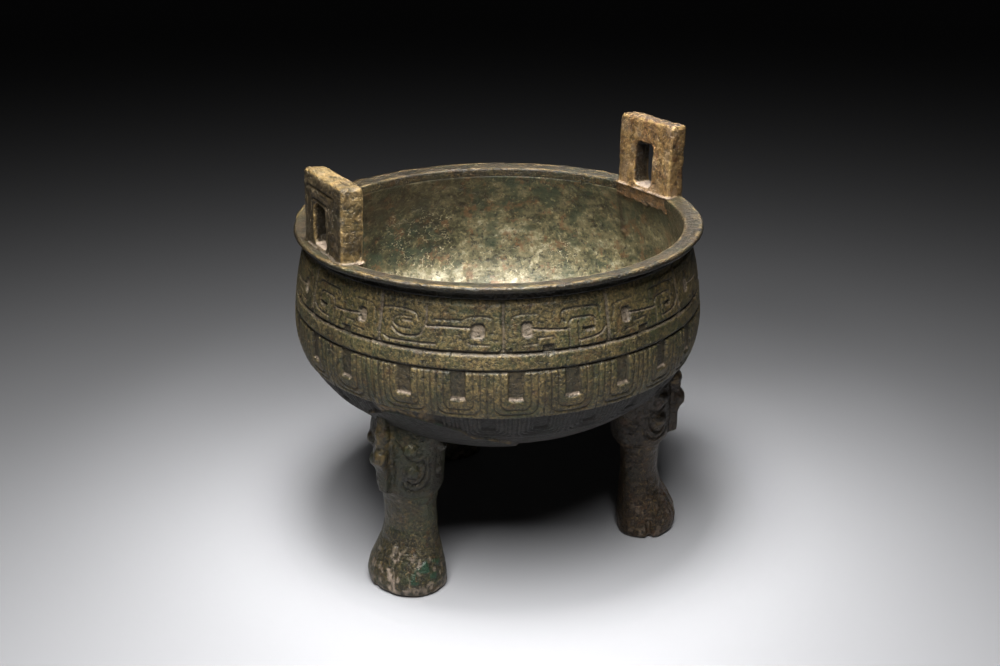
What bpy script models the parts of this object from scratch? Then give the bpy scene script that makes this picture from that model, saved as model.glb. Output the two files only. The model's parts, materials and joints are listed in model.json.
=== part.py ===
# Bronze ding: a deep round bowl with a flat rim, two upright loop handles on the rim and
# three hoofed legs that end in animal masks under the bowl, all cast as one piece.
# The frame stands on the floor under the middle of the bowl, +Z up. The handles stand at
# +X and -X. Sizes are in metres and turns round the bowl in degrees from +X.
import math

import bmesh
import bpy
from mathutils import Matrix, Vector

# Bowl and rim.
BOWL_CLEARANCE = 0.115     # floor to the underside of the bowl
BOWL_DEPTH = 0.186         # underside of the bowl to the top of the rim
RIM_RADIUS = 0.180
RIM_WIDTH = 0.017          # flat top of the rim, from the mouth to the lip
RIM_THICKNESS = 0.0052
RIM_RISE = 0.0018          # the lip stands this much above the mouth
WALL = 0.0045
BELLY_BULGE = 0.0144       # the belly stands this much out of the neck
BELLY_HEIGHT = 0.102       # underside of the bowl to its widest ring
BELLY_FULLNESS = 2.5       # 2 is an ellipse, more is squarer
SHOULDER_CURVE = 1.7
TURNS = 50                 # flats round the bowl

# Bands of the outside, each measured down from the one above.
NECK_HEIGHT = 0.018        # top of the rim to the dragon band
DRAGON_HEIGHT = 0.0355
BAND_HEIGHT = 0.0142       # plain raised band between the two grooves
SCALE_HEIGHT = 0.0434
HEM_HEIGHT = 0.030         # lower row of scales, set back under the upper row
GROOVE_WIDTH = 0.0026
GROOVE_DEPTH = 0.0018
HEM_STEP = 0.0012

# Carving. The mould had three sections, with seams beside the legs.
DRAGON_BOUNDS = (87.3, 119.0, 151.4, 179.4, 207.3, 240.4, 268.3, 296.3, 327.3, 355.3, 385.3, 416.0)
DRAGON_MEET = 240.4        # the dragons on both sides face this bound
DRAGON_TURN = 28.0         # degrees that a dragon takes
DRAGON_STRETCH = 0.45      # share of a longer field's extra length that its dragon takes
SCALE_TURN = 85.2          # where a third of the scale bands starts
SCALE_MARGIN = 4.0         # plain strip where a third of the scale bands ends
SCALES_PER_SECTOR = 8
SLOT_WIDTH = 0.0115
SLOT_HEIGHT = 0.0245
SLOT_DEPTH = 0.0022
HEM_SLOT_WIDTH = 0.0135
HEM_SLOT_HEIGHT = 0.0125
HEM_SLOT_DEPTH = 0.0012
LINE_WIDTH = 0.0017
LINE_DEPTH = 0.0011
DIVIDER_WIDTH = 0.0030
EYE_WIDTH = 0.0098
EYE_HEIGHT = 0.0118
EYE_DEPTH = 0.0022
NOTCH_WIDTH = 0.0115
NOTCH_HEIGHT = 0.0050

# Handles: upright rectangular loops with roots that run down inside the mouth. Each was set by
# eye in the mould, so each has its own place: inset is its middle in from the rim's lip, and
# twist and lean are how far it is turned and tipped outwards from square, in degrees.
HANDLES = (
    {"turn": 0.0, "inset": 0.0124, "twist": 2.9, "lean": 2.4,
     "width": 0.0740, "thickness": 0.0188, "height": 0.0668,
     "hole": 0.0250, "shift": 0.0, "sill": 0.0035, "bar": 0.0215},
    {"turn": 181.6, "inset": 0.0210, "twist": -3.6, "lean": -2.9,
     "width": 0.0795, "thickness": 0.0202, "height": 0.0622,
     "hole": 0.0265, "shift": -0.0040, "sill": 0.0030, "bar": 0.0240},
)
HANDLE_BEVEL = 0.0025
ROOT_DEPTH = 0.0150
ROOT_POINTS = 5            # along the root's curved back, which is sunk in the wall
FRAME_LINE_WIDTH = 0.0018
FRAME_LINE_DEPTH = 0.0012
FRAME_GAPS = ((0.0045, 0.0032), (0.0150, 0.0125))     # each frame beside the hole and above it

# Legs.
LEG_COUNT = 3
LEG_TURN = 82.5
LEG_RADIUS = 0.140
LEG_POINTS = 12
FOOT_WIDTH = 0.0736
FOOT_FRONT = 0.0286        # reach outwards from the leg's axis
FOOT_BACK = 0.0270         # reach inwards
SHAFT_WIDTH = 0.0490
SHAFT_FRONT = 0.0100
SHAFT_BACK = 0.0250
MASK_HEIGHT = 0.0535       # from the mask's lower edge up to the bowl
MASK_LOW_WIDTH = 0.0560
MASK_HIGH_WIDTH = 0.0670
MASK_FRONT = 0.0190
MASK_BACK = 0.0350
FLANGE_THICKNESS = 0.0095
FLANGE_REACH = 0.0320
EYE_RADIUS = 0.0080
CHEEK_RADIUS = 0.0070
BROW_LENGTH = 0.0220
BROW_TURN = 38.0           # how far a brow sweeps back, degrees

CUT_CLEARANCE = 0.004      # cutters stand this far out of the surface they cut

RIM_TOP = BOWL_CLEARANCE + BOWL_DEPTH
MOUTH_TOP = RIM_TOP - RIM_RISE
MOUTH_RADIUS = RIM_RADIUS - RIM_WIDTH
NECK_RADIUS = MOUTH_RADIUS + WALL
BELLY_RADIUS = NECK_RADIUS + BELLY_BULGE
BELLY_TOP = BOWL_CLEARANCE + BELLY_HEIGHT
NECK_TOP = MOUTH_TOP - RIM_THICKNESS
DRAGON_TOP = RIM_TOP - NECK_HEIGHT
DRAGON_BOTTOM = DRAGON_TOP - DRAGON_HEIGHT
SCALE_TOP = DRAGON_BOTTOM - BAND_HEIGHT
SCALE_BOTTOM = SCALE_TOP - SCALE_HEIGHT
HEM_BOTTOM = SCALE_BOTTOM - HEM_HEIGHT
SECTOR = 360.0 / LEG_COUNT


def bowlRadius(height):
    """Outer radius of the plain bowl at a height."""
    if height >= BELLY_TOP:
        share = min(1.0, (height - BELLY_TOP) / (NECK_TOP - BELLY_TOP))
        return BELLY_RADIUS - BELLY_BULGE * share ** SHOULDER_CURVE
    share = min(1.0, (BELLY_TOP - height) / BELLY_HEIGHT)
    return BELLY_RADIUS * (1.0 - share * share) ** (1.0 / BELLY_FULLNESS)


def wallRadius(height):
    """Outer radius with the lower row of scales set back."""
    return bowlRadius(height) - (HEM_STEP if HEM_BOTTOM < height < SCALE_BOTTOM else 0.0)


def underside(radius):
    """Height of the bowl's underside at a radius."""
    share = (1.0 - (radius / BELLY_RADIUS) ** BELLY_FULLNESS) ** 0.5
    return BELLY_TOP - BELLY_HEIGHT * share


def mix(low, high, share):
    return low + (high - low) * share


def bronze():
    material = bpy.data.materials.new("bronze")
    material.use_nodes = True
    shader = material.node_tree.nodes["Principled BSDF"]
    shader.inputs["Base Color"].default_value = (0.085, 0.075, 0.042, 1.0)
    shader.inputs["Metallic"].default_value = 0.35
    shader.inputs["Roughness"].default_value = 0.55
    return material


def collection(name, hidden=False):
    group = bpy.data.collections.new(name)
    bpy.context.scene.collection.children.link(group)
    group.hide_render = hidden
    return group


def addObject(name, mesh, group):
    thing = bpy.data.objects.new(name, mesh)
    group.objects.link(thing)
    return thing


def helper(name, shape, group):
    """A closed shape that is only joined to the vessel or cut out of it."""
    bmesh.ops.recalc_face_normals(shape, faces=shape.faces)
    mesh = bpy.data.meshes.new(name)
    shape.to_mesh(mesh)
    shape.free()
    thing = addObject(name, mesh, group)
    thing.hide_render = True
    thing.display_type = "WIRE"
    return thing


def boolean(target, other, operation):
    cut = target.modifiers.new(operation.title() + " " + other.name, "BOOLEAN")
    cut.operation = operation
    cut.solver = "EXACT"
    cut.object = other


def groove(height):
    """Three profile points of a turned groove, from its upper edge to its lower one."""
    half = GROOVE_WIDTH / 2
    return [
        (bowlRadius(height + half), height + half),
        (bowlRadius(height) - GROOVE_DEPTH, height),
        (bowlRadius(height - half), height - half),
    ]


def between(top, bottom, count):
    """Evenly spaced heights strictly between two others."""
    return [top + (bottom - top) * step / (count + 1) for step in range(1, count + 1)]


def outsideProfile():
    """Radius and height down the outside, from the middle of the mouth to the underside."""
    lip = RIM_THICKNESS * 0.3
    points = [(0.0, MOUTH_TOP), (MOUTH_RADIUS, MOUTH_TOP), (RIM_RADIUS - lip, RIM_TOP)]
    points += [(RIM_RADIUS, RIM_TOP - RIM_THICKNESS / 2)]
    points += [(RIM_RADIUS - lip, RIM_TOP - RIM_THICKNESS), (NECK_RADIUS, NECK_TOP)]
    points += [(bowlRadius(z), z) for z in (DRAGON_TOP, *between(DRAGON_TOP, DRAGON_BOTTOM, 1))]
    points += groove(DRAGON_BOTTOM) + groove(SCALE_TOP)
    points += [(bowlRadius(z), z) for z in between(SCALE_TOP, SCALE_BOTTOM, 1)]
    points += [(bowlRadius(SCALE_BOTTOM), SCALE_BOTTOM)]
    points += [(bowlRadius(SCALE_BOTTOM) - HEM_STEP, SCALE_BOTTOM - HEM_STEP / 2)]
    points += [(wallRadius(z), z) for z in between(SCALE_BOTTOM, HEM_BOTTOM, 1)]
    points += [(bowlRadius(HEM_BOTTOM) - HEM_STEP, HEM_BOTTOM)]
    edge = bowlRadius(HEM_BOTTOM) - HEM_STEP
    points += [(edge * share, underside(edge * share)) for share in (0.86, 0.68, 0.46, 0.22)]
    return points + [(0.0, BOWL_CLEARANCE)]


def insideProfile():
    """Radius and height down the inside, from above the mouth to the bottom of the bowl."""
    points = [(0.0, RIM_TOP + CUT_CLEARANCE), (MOUTH_RADIUS, RIM_TOP + CUT_CLEARANCE)]
    points += [(MOUTH_RADIUS, NECK_TOP)]
    points += [(bowlRadius(z) - WALL, z) for z in between(NECK_TOP, BELLY_TOP, 2)]
    points += [(BELLY_RADIUS - WALL, BELLY_TOP)]
    for angle in (22, 42, 58, 70, 81):
        lean = math.radians(angle)
        radius = BELLY_RADIUS * math.cos(lean) ** (2.0 / BELLY_FULLNESS)
        drop = BELLY_HEIGHT * math.sin(lean)
        points.append((radius - WALL * math.cos(lean), BELLY_TOP - drop + WALL * math.sin(lean)))
    return points + [(0.0, BOWL_CLEARANCE + WALL)]


def turned(name, profile, group):
    """A profile turned round the bowl's axis."""
    mesh = bpy.data.meshes.new(name)
    edges = [(index, index + 1) for index in range(len(profile) - 1)]
    mesh.from_pydata([(radius, 0.0, height) for radius, height in profile], edges, [])
    thing = addObject(name, mesh, group)
    screw = thing.modifiers.new("Turn", "SCREW")
    screw.axis = "Z"
    screw.angle = 2 * math.pi
    screw.steps = screw.render_steps = TURNS
    screw.use_merge_vertices = True
    screw.merge_threshold = 0.00001
    screw.use_smooth_shade = False
    return thing


def prism(outline, vector):
    """A closed shape grown from a flat outline along a vector."""
    shape = bmesh.new()
    flat = shape.faces.new([shape.verts.new(point) for point in outline])
    grown = bmesh.ops.extrude_face_region(shape, geom=[flat])["geom"]
    far = [item for item in grown if isinstance(item, bmesh.types.BMVert)]
    bmesh.ops.translate(shape, verts=far, vec=vector)
    return shape


def sectionLoop(shape, height, back, front, half):
    """One ring of a leg: a pointed oval, its front outwards along +X, its back flat."""
    ring = bmesh.ops.create_circle(shape, radius=1.0, segments=LEG_POINTS)["verts"]
    middle = min(back + half, 0.5 * (back + front))
    for vertex in ring:
        ahead, aside = vertex.co.x, vertex.co.y
        reach = front - middle if ahead > 0 else middle - back
        power = 1.15 if ahead > 0 else 0.6
        vertex.co.x = middle + math.copysign(abs(ahead) ** power, ahead) * reach
        vertex.co.y = math.copysign(abs(aside) ** 0.85, aside) * half
        vertex.co.z = height
    return ring


def legShape():
    """A leg about its own axis, from the sole to inside the bowl's wall. +X is outwards."""
    bowlMeets = underside(LEG_RADIUS)
    maskBottom = bowlMeets - MASK_HEIGHT
    rings = []
    # Up the hoof: share of the way to the mask, and how far it flares from shaft to foot.
    for up, flare in ((0.0, 0.74), (0.035, 1.0), (0.13, 1.02), (0.24, 0.80), (0.34, 0.54),
                      (0.46, 0.20), (0.60, 0.0), (0.96, 0.0)):
        half = mix(SHAFT_WIDTH, FOOT_WIDTH, flare) / 2
        front = mix(SHAFT_FRONT, FOOT_FRONT, flare)
        rings.append((maskBottom * up, -mix(SHAFT_BACK, FOOT_BACK, flare), front, half))
    # Up the mask: share of the way to the bowl, and how far it swells from the shaft.
    for up, swell in ((0.0, 0.6), (0.11, 0.95), (0.41, 1.0), (0.71, 1.0), (1.04, 1.0)):
        half = mix(SHAFT_WIDTH, mix(MASK_LOW_WIDTH, MASK_HIGH_WIDTH, up), swell) / 2
        front = mix(SHAFT_FRONT, MASK_FRONT, swell)
        back = mix(SHAFT_BACK, MASK_BACK, swell)
        rings.append((maskBottom + MASK_HEIGHT * up, -back, front, half))
    hidden = bowlMeets + MASK_HEIGHT * 0.45
    rings.append((hidden, -MASK_BACK, SHAFT_FRONT, SHAFT_WIDTH / 2))
    shape = bmesh.new()
    loops = [sectionLoop(shape, *ring) for ring in rings]
    for below, above in zip(loops, loops[1:]):
        pairs = [(ring[k], ring[k - 1]) for ring in (below, above) for k in range(LEG_POINTS)]
        edges = [shape.edges.get(pair) or shape.edges.new(pair) for pair in pairs]
        bmesh.ops.bridge_loops(shape, edges=edges)
    bmesh.ops.contextual_create(shape, geom=loops[0])
    bmesh.ops.contextual_create(shape, geom=loops[-1])
    return shape


def flangeShape():
    """The mask's nose: an upright plate along +X whose edge steps in and out."""
    maskBottom = underside(LEG_RADIUS) - MASK_HEIGHT
    inner = MASK_FRONT * 0.4
    # Share of the flange's reach, and share of the mask's height from its lower edge.
    steps = [(0.80, 0.11), (0.82, 0.48), (1.0, 0.71), (0.87, 0.90), (0.85, 1.23), (0.78, 1.48)]
    outline = [(inner, 0.06)] + [(FLANGE_REACH * out, up) for out, up in steps] + [(inner, 1.37)]
    points = [(x, -FLANGE_THICKNESS / 2, maskBottom + MASK_HEIGHT * up) for x, up in outline]
    return prism(points, (0.0, FLANGE_THICKNESS, 0.0))


def bossShapes():
    """The mask's eyes, cheek curls and brows, on both sides of the flange."""
    maskBottom = underside(LEG_RADIUS) - MASK_HEIGHT
    half = MASK_LOW_WIDTH / 2
    brow = (BROW_LENGTH, EYE_RADIUS * 0.94, EYE_RADIUS * 0.81)
    # Middle out of the leg's axis, aside and up the mask, then radii and turn.
    bosses = [
        (MASK_FRONT * 0.40, half * 0.64, 0.58, (EYE_RADIUS,) * 3, 0.0),
        (-MASK_BACK * 0.64, half * 0.87, 0.41, (CHEEK_RADIUS,) * 3, 0.0),
        (0.0, half * 0.82, 0.88, brow, BROW_TURN),
    ]
    shapes = []
    for x, y, up, radii, turn in bosses:
        for side in (-1, 1):
            place = Matrix.Translation((x, y * side, maskBottom + MASK_HEIGHT * up))
            place = place @ Matrix.Rotation(math.radians(-turn * side), 4, "Z")
            shape = bmesh.new()
            scale = Matrix.Diagonal((*radii, 1.0))
            bmesh.ops.create_icosphere(shape, subdivisions=1, radius=1.0, matrix=place @ scale)
            shapes.append(shape)
    return shapes


def joinLegs(vessel, cutters):
    """Each leg, its flange and its bosses are joined to the vessel one after another."""
    for number in range(LEG_COUNT):
        turn = Matrix.Rotation(math.radians(LEG_TURN + number * SECTOR), 4, "Z")
        place = turn @ Matrix.Translation((LEG_RADIUS, 0.0, 0.0))
        pieces = [("leg", legShape()), ("flange", flangeShape())]
        pieces += [(f"boss_{index}", shape) for index, shape in enumerate(bossShapes())]
        for name, shape in pieces:
            shape.transform(place)
            boolean(vessel, helper(f"{name}_{number + 1}", shape, cutters), "UNION")


def blockShape(size, middle):
    shape = bmesh.new()
    bmesh.ops.create_cube(shape, size=1.0)
    shape.transform(Matrix.Translation(middle) @ Matrix.Diagonal((*size, 1.0)))
    return shape


def handlePlace(spec, lean):
    """A handle's own frame: +X outwards and the origin on the rim's top."""
    place = Matrix.Rotation(math.radians(spec["turn"]), 4, "Z")
    place = place @ Matrix.Translation((RIM_RADIUS - spec["inset"], 0.0, MOUTH_TOP))
    place = place @ Matrix.Rotation(math.radians(spec["twist"]), 4, "Z")
    return place @ Matrix.Rotation(math.radians(lean), 4, "Y")


def loopShape(spec):
    """The loop before its hole is cut, with bevelled corners, and its root below the rim."""
    root = RIM_THICKNESS
    size = (spec["thickness"], spec["width"], spec["height"] + root)
    shape = blockShape(size, (0.0, 0.0, size[2] / 2 - root))
    top = [edge for edge in shape.edges if all(v.co.z > 0 for v in edge.verts)]
    upright = [edge for edge in shape.edges if abs(edge.verts[0].co.z - edge.verts[1].co.z) > root]
    bmesh.ops.bevel(shape, geom=top + upright, offset=HANDLE_BEVEL, offset_type="OFFSET",
                    segments=1, profile=0.5, affect="EDGES", clamp_overlap=True)
    return shape


def holeShape(spec):
    height = spec["height"] - spec["bar"] - spec["sill"]
    size = (spec["thickness"] * 2, spec["hole"], height)
    return blockShape(size, (0.0, spec["shift"], spec["sill"] + height / 2))


def rootShape(spec):
    """The plate that carries a handle on down inside the mouth. Its back lies in the wall."""
    radius = MOUTH_RADIUS + WALL / 2
    twist = math.radians(spec["twist"])
    ahead = Vector((math.cos(twist), math.sin(twist)))
    aside = Vector((-ahead.y, ahead.x))
    middle = Vector((RIM_RADIUS - spec["inset"], 0.0))
    front, bearings = [], []
    for side in (-0.5, 0.5):
        corner = middle - ahead * spec["thickness"] / 2 + aside * spec["width"] * side
        along = corner.dot(ahead)
        reach = -along + math.sqrt(along ** 2 - corner.length_squared + radius ** 2)
        front.append(corner)
        back = corner + ahead * reach
        bearings.append(math.atan2(back.y, back.x))
    outline = [front[1], front[0]]
    for step in range(ROOT_POINTS):
        bearing = mix(bearings[0], bearings[1], step / (ROOT_POINTS - 1))
        outline.append(Vector((radius * math.cos(bearing), radius * math.sin(bearing))))
    bottom = MOUTH_TOP - ROOT_DEPTH
    points = [(point.x, point.y, bottom) for point in outline]
    shape = prism(points, (0.0, 0.0, ROOT_DEPTH + RIM_THICKNESS / 2))
    shape.transform(Matrix.Rotation(math.radians(spec["turn"]), 4, "Z"))
    return shape


def frameShape(spec, beside, above):
    """An engraved frame on a handle's outer face, round the hole and open below."""
    face = spec["thickness"] / 2
    half = spec["hole"] / 2 + beside
    top = spec["height"] - spec["bar"] + above
    narrow, low = half - FRAME_LINE_WIDTH, top - FRAME_LINE_WIDTH
    outline = [(-half, 0.0), (-half, top), (half, top), (half, 0.0)]
    outline += [(narrow, 0.0), (narrow, low), (-narrow, low), (-narrow, 0.0)]
    points = [(face - FRAME_LINE_DEPTH, spec["shift"] + across, up) for across, up in outline]
    shape = prism(points, (FRAME_LINE_DEPTH + CUT_CLEARANCE, 0.0, 0.0))
    bmesh.ops.triangulate(shape, faces=shape.faces)
    return shape


def joinHandles(vessel, cutters):
    for number, spec in enumerate(HANDLES, 1):
        place = handlePlace(spec, spec["lean"])
        steps = [
            (f"handle_{number}", loopShape(spec), place, "UNION"),
            (f"root_{number}", rootShape(spec), Matrix(), "UNION"),
            (f"hole_{number}", holeShape(spec), place, "DIFFERENCE"),
        ]
        for count, gaps in enumerate(FRAME_GAPS, 1):
            frame = frameShape(spec, *gaps)
            steps.append((f"frame_{number}_{count}", frame, place, "DIFFERENCE"))
        for name, shape, frame, operation in steps:
            shape.transform(frame)
            boolean(vessel, helper(name, shape, cutters), operation)


def stroke(points, width):
    """The outline of a line of even width along some points."""
    left, right = [], []
    path = [Vector(point) for point in points]
    for index, point in enumerate(path):
        before = (point - path[index - 1]).normalized() if index else None
        after = (path[index + 1] - point).normalized() if index < len(path) - 1 else None
        along = ((before or after) + (after or before)).normalized()
        across = Vector((-along.y, along.x))
        reach = width / 2 / max(0.5, along.dot(after or before))
        left.append(point + across * reach)
        right.append(point - across * reach)
    return left + right[::-1]


def carve(shape, outline, turn, depth):
    """Adds a cutter whose outline, along and up the wall, is wrapped round the bowl."""
    sunk = [shape.verts.new((along, 0.0, height)) for along, height in outline]
    face = shape.faces.new(sunk)
    grown = bmesh.ops.extrude_face_region(shape, geom=[face])["geom"]
    proud = [item for item in grown if isinstance(item, bmesh.types.BMVert)]
    for corners, lift in ((sunk, -depth), (proud, CUT_CLEARANCE)):
        for corner in corners:
            angle = math.radians(turn) + corner.co.x / BELLY_RADIUS
            radius = wallRadius(corner.co.z) + lift
            corner.co = (radius * math.cos(angle), radius * math.sin(angle), corner.co.z)


def slotOutline(width, top, height):
    """A slot that hangs from the band above it and ends in a rounded foot."""
    half, foot = width / 2, width * 0.22
    bottom = top - height
    return [
        (-half, top),
        (-half, bottom + foot),
        (-half + foot, bottom),
        (half - foot, bottom),
        (half, bottom + foot),
        (half, top),
    ]


def dragonOutlines():
    """Outlines and depths of one dragon, from the bound that it faces to its curled tail."""
    length = math.radians(DRAGON_TURN) * BELLY_RADIUS

    def at(along, up):
        return (along * length, DRAGON_BOTTOM + up * DRAGON_HEIGHT)

    eyeX, eyeZ = at(0.215, 0.46)
    left, right = eyeX - EYE_WIDTH / 2, eyeX + EYE_WIDTH / 2
    low, high = eyeZ - EYE_HEIGHT / 2, eyeZ + EYE_HEIGHT / 2
    cut = EYE_WIDTH * 0.2
    line = at(0.585, 0.42)
    half = LINE_WIDTH / 2
    eye = [
        (right, line[1] - half), line, (line[0], line[1] + LINE_WIDTH), (right, line[1] + half),
        (right, high - cut), (right - cut, high), (left + cut, high), (left, high - cut),
        (left, low + cut), (left + cut, low), (right - cut, low),
    ]
    arch = stroke([at(0.603, 0.08), at(0.603, 0.36), at(0.63, 0.60), at(0.82, 0.63),
                   at(0.865, 0.48)], LINE_WIDTH)
    hook = stroke([at(0.695, 0.46), at(0.695, 0.15), at(0.85, 0.16), at(0.94, 0.28)], LINE_WIDTH)
    notchX = at(0.41, 0.0)[0]
    sill = DRAGON_BOTTOM + GROOVE_WIDTH / 4
    notch = [
        (notchX - NOTCH_WIDTH / 2, sill), (notchX + NOTCH_WIDTH / 2, sill),
        (notchX + NOTCH_WIDTH / 2 - cut, sill + NOTCH_HEIGHT),
        (notchX - NOTCH_WIDTH / 2 + cut, sill + NOTCH_HEIGHT),
    ]
    return [(eye, EYE_DEPTH), (arch, LINE_DEPTH), (hook, LINE_DEPTH), (notch, LINE_DEPTH)]


def cutDragons(shape):
    bottom = DRAGON_BOTTOM + GROOVE_WIDTH / 4
    divider = stroke([(0.0, bottom), (0.0, DRAGON_TOP)], DIVIDER_WIDTH)
    ends = DRAGON_BOUNDS[1:] + (DRAGON_BOUNDS[0] + 360.0,)
    for start, end in zip(DRAGON_BOUNDS, ends):
        facesEnd = end <= DRAGON_MEET
        stretch = mix(1.0, (end - start) / DRAGON_TURN, DRAGON_STRETCH)
        along = -stretch if facesEnd else stretch
        for outline, depth in dragonOutlines():
            turned = [(x * along, z) for x, z in outline]
            carve(shape, turned, end if facesEnd else start, depth)
        carve(shape, divider, start, LINE_DEPTH)


def cutScales(shape, begin):
    step = (SECTOR - SCALE_MARGIN) / SCALES_PER_SECTOR
    under = SCALE_BOTTOM - HEM_STEP / 2
    for number in range(SCALES_PER_SECTOR):
        middle = begin + SCALE_MARGIN / 2 + (number + 0.5) * step
        slot = slotOutline(SLOT_WIDTH, SCALE_TOP - GROOVE_WIDTH / 4, SLOT_HEIGHT)
        carve(shape, slot, middle, SLOT_DEPTH)
        if number:
            hemSlot = slotOutline(HEM_SLOT_WIDTH, under, HEM_SLOT_HEIGHT)
            carve(shape, hemSlot, middle - step / 2, HEM_SLOT_DEPTH)


def cutFriezes(vessel, cutters):
    shape = bmesh.new()
    cutDragons(shape)
    for number in range(LEG_COUNT):
        cutScales(shape, SCALE_TURN + number * SECTOR)
    bmesh.ops.triangulate(shape, faces=shape.faces)
    boolean(vessel, helper("frieze_cuts", shape, cutters), "DIFFERENCE")


def build():
    for thing in list(bpy.data.objects):
        bpy.data.objects.remove(thing, do_unlink=True)
    ding = collection("ding")
    cutters = collection("cutters", hidden=True)
    vessel = turned("ding_vessel", outsideProfile(), ding)
    vessel.data.materials.append(bronze())
    joinLegs(vessel, cutters)
    bowl = turned("bowl_inside", insideProfile(), cutters)
    bowl.hide_render = True
    bowl.display_type = "WIRE"
    boolean(vessel, bowl, "DIFFERENCE")
    joinHandles(vessel, cutters)
    cutFriezes(vessel, cutters)


build()
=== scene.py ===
import json
import math

import bmesh
import bpy
import numpy as np
from mathutils import Matrix, Vector

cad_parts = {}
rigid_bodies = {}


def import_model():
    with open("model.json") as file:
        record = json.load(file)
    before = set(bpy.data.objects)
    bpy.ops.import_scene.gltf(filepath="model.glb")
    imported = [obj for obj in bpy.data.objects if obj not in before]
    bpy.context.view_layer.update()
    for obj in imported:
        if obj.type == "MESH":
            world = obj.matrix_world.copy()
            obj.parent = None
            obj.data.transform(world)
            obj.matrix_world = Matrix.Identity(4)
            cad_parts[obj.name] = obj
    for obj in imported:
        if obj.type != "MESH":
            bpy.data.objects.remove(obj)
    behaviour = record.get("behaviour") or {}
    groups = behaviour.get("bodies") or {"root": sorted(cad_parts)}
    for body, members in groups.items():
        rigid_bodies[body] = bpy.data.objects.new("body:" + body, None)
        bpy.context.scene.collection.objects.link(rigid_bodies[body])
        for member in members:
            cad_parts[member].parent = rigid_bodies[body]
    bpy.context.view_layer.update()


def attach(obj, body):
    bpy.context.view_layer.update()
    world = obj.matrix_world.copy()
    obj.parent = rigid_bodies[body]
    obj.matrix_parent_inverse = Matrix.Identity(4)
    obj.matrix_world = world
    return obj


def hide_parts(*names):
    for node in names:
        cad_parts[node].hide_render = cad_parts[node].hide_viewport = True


# A bronze ding: a round bowl on three hoofed legs with two loop handles, worn and patinated.
# Shapes are worked out in millimetres and brought to metres when a piece is finished.
# Turns are degrees round the bowl from +X; heights are over the floor.
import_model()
scene = bpy.context.scene
mm = 0.001

bowl = dict(
    belly=181.3,          # outer radius at the widest ring
    widest=217.0,         # height of that ring
    bulge=14.0,           # the belly stands this much out of the neck
    neckTop=294.0,
    shoulder=1.7,
    depth=102.0,          # widest ring to the underside
    fullness=2.5,
    wall=4.5,
    skin=3.9,             # depth of the hidden faces behind the carving
)
legTurns = (82.5, 202.5, 322.5)
seamTurns = (85.1, 205.1, 325.1)      # where the mould's sections met
degree = math.radians(1.0) * bowl["belly"]       # mm along the belly in one degree
farOff = 9.0                          # a gap that reaches no cut


# Fields that the shapes share.

def ease(share):
    share = np.clip(share, 0.0, 1.0)
    return share * share * (3.0 - 2.0 * share)


def rise(value, low, high):       # 0 below low, 1 above high
    return ease((value - low) / (high - low))


def sink(gap, edge=0.45):         # 1 inside a cut, 0 outside it, from a signed gap in mm
    return 1.0 - rise(gap, -edge, edge)


def mix(low, high, share):
    return low + (high - low) * share


def apart(turn, at):              # mm along the belly from one turn to another, with its sign
    return ((turn - at + 180.0) % 360.0 - 180.0) * degree


lattice = np.random.default_rng(7).random((24, 24, 24))


def lumps(points, size, shift=0.0):       # smooth lumps from 0 to 1, about size mm across
    place = points / size + shift
    cell = np.floor(place).astype(int)
    part = place - cell
    part = part * part * (3.0 - 2.0 * part)
    total = np.zeros(len(points))
    for corner in np.ndindex(2, 2, 2):
        index = (cell + corner) % len(lattice)
        weight = np.where(corner, part, 1.0 - part).prod(axis=1)
        total += weight * lattice[index[:, 0], index[:, 1], index[:, 2]]
    return total


def grit(points, size, layers=3, shift=0.0):      # layered lumps round 0, mostly within 1
    total = np.zeros(len(points))
    for layer in range(layers):
        total += (lumps(points, size / 2.1 ** layer, shift + layer * 5.3) - 0.5) * 0.55 ** layer
    return total * 2.0


def rounded(path, times=2):       # a bent line with its corners cut, its ends kept
    for _ in range(times):
        pairs = list(zip(path, path[1:]))
        cut = [tuple(mix(a, b, share) for a, b in zip(*pair))
               for pair in pairs for share in (0.25, 0.75)]
        path = [path[0]] + cut[1:-1] + [path[-1]]
    return path


def lineGap(x, y, path):          # distance to a bent line
    gap = np.full(x.shape, 1000.0)
    for (ax, ay), (bx, by) in zip(path, path[1:]):
        dx, dy = bx - ax, by - ay
        share = np.clip(((x - ax) * dx + (y - ay) * dy) / (dx * dx + dy * dy), 0.0, 1.0)
        gap = np.minimum(gap, np.hypot(x - ax - share * dx, y - ay - share * dy))
    return gap


def boxGap(x, y, left, right, low, high, corner):     # signed distance to a rounded box
    across = np.abs(x - (left + right) / 2) - (right - left) / 2 + corner
    up = np.abs(y - (low + high) / 2) - (high - low) / 2 + corner
    outside = np.hypot(np.maximum(across, 0.0), np.maximum(up, 0.0))
    return outside + np.minimum(np.maximum(across, up), 0.0) - corner


# The bowl's wall.

def wallRadius(height):
    above = np.clip((height - bowl["widest"]) / (bowl["neckTop"] - bowl["widest"]), 0.0, 1.0)
    below = np.clip((bowl["widest"] - height) / bowl["depth"], 0.0, 1.0)
    upper = bowl["belly"] - bowl["bulge"] * above ** bowl["shoulder"]
    lower = bowl["belly"] * (1.0 - below ** 2) ** (1.0 / bowl["fullness"])
    return np.where(height >= bowl["widest"], upper, lower)


def wallHeight(radius):           # height of the outside under the widest ring
    share = np.clip(1.0 - (radius / bowl["belly"]) ** bowl["fullness"], 0.0, 1.0)
    return bowl["widest"] - bowl["depth"] * share ** 0.5


def outwards(path):               # normals of a profile that runs down the outside
    along = np.gradient(path, axis=0)
    normals = np.stack([-along[:, 1], along[:, 0]], axis=1)
    return normals / np.linalg.norm(normals, axis=1, keepdims=True)


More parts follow.
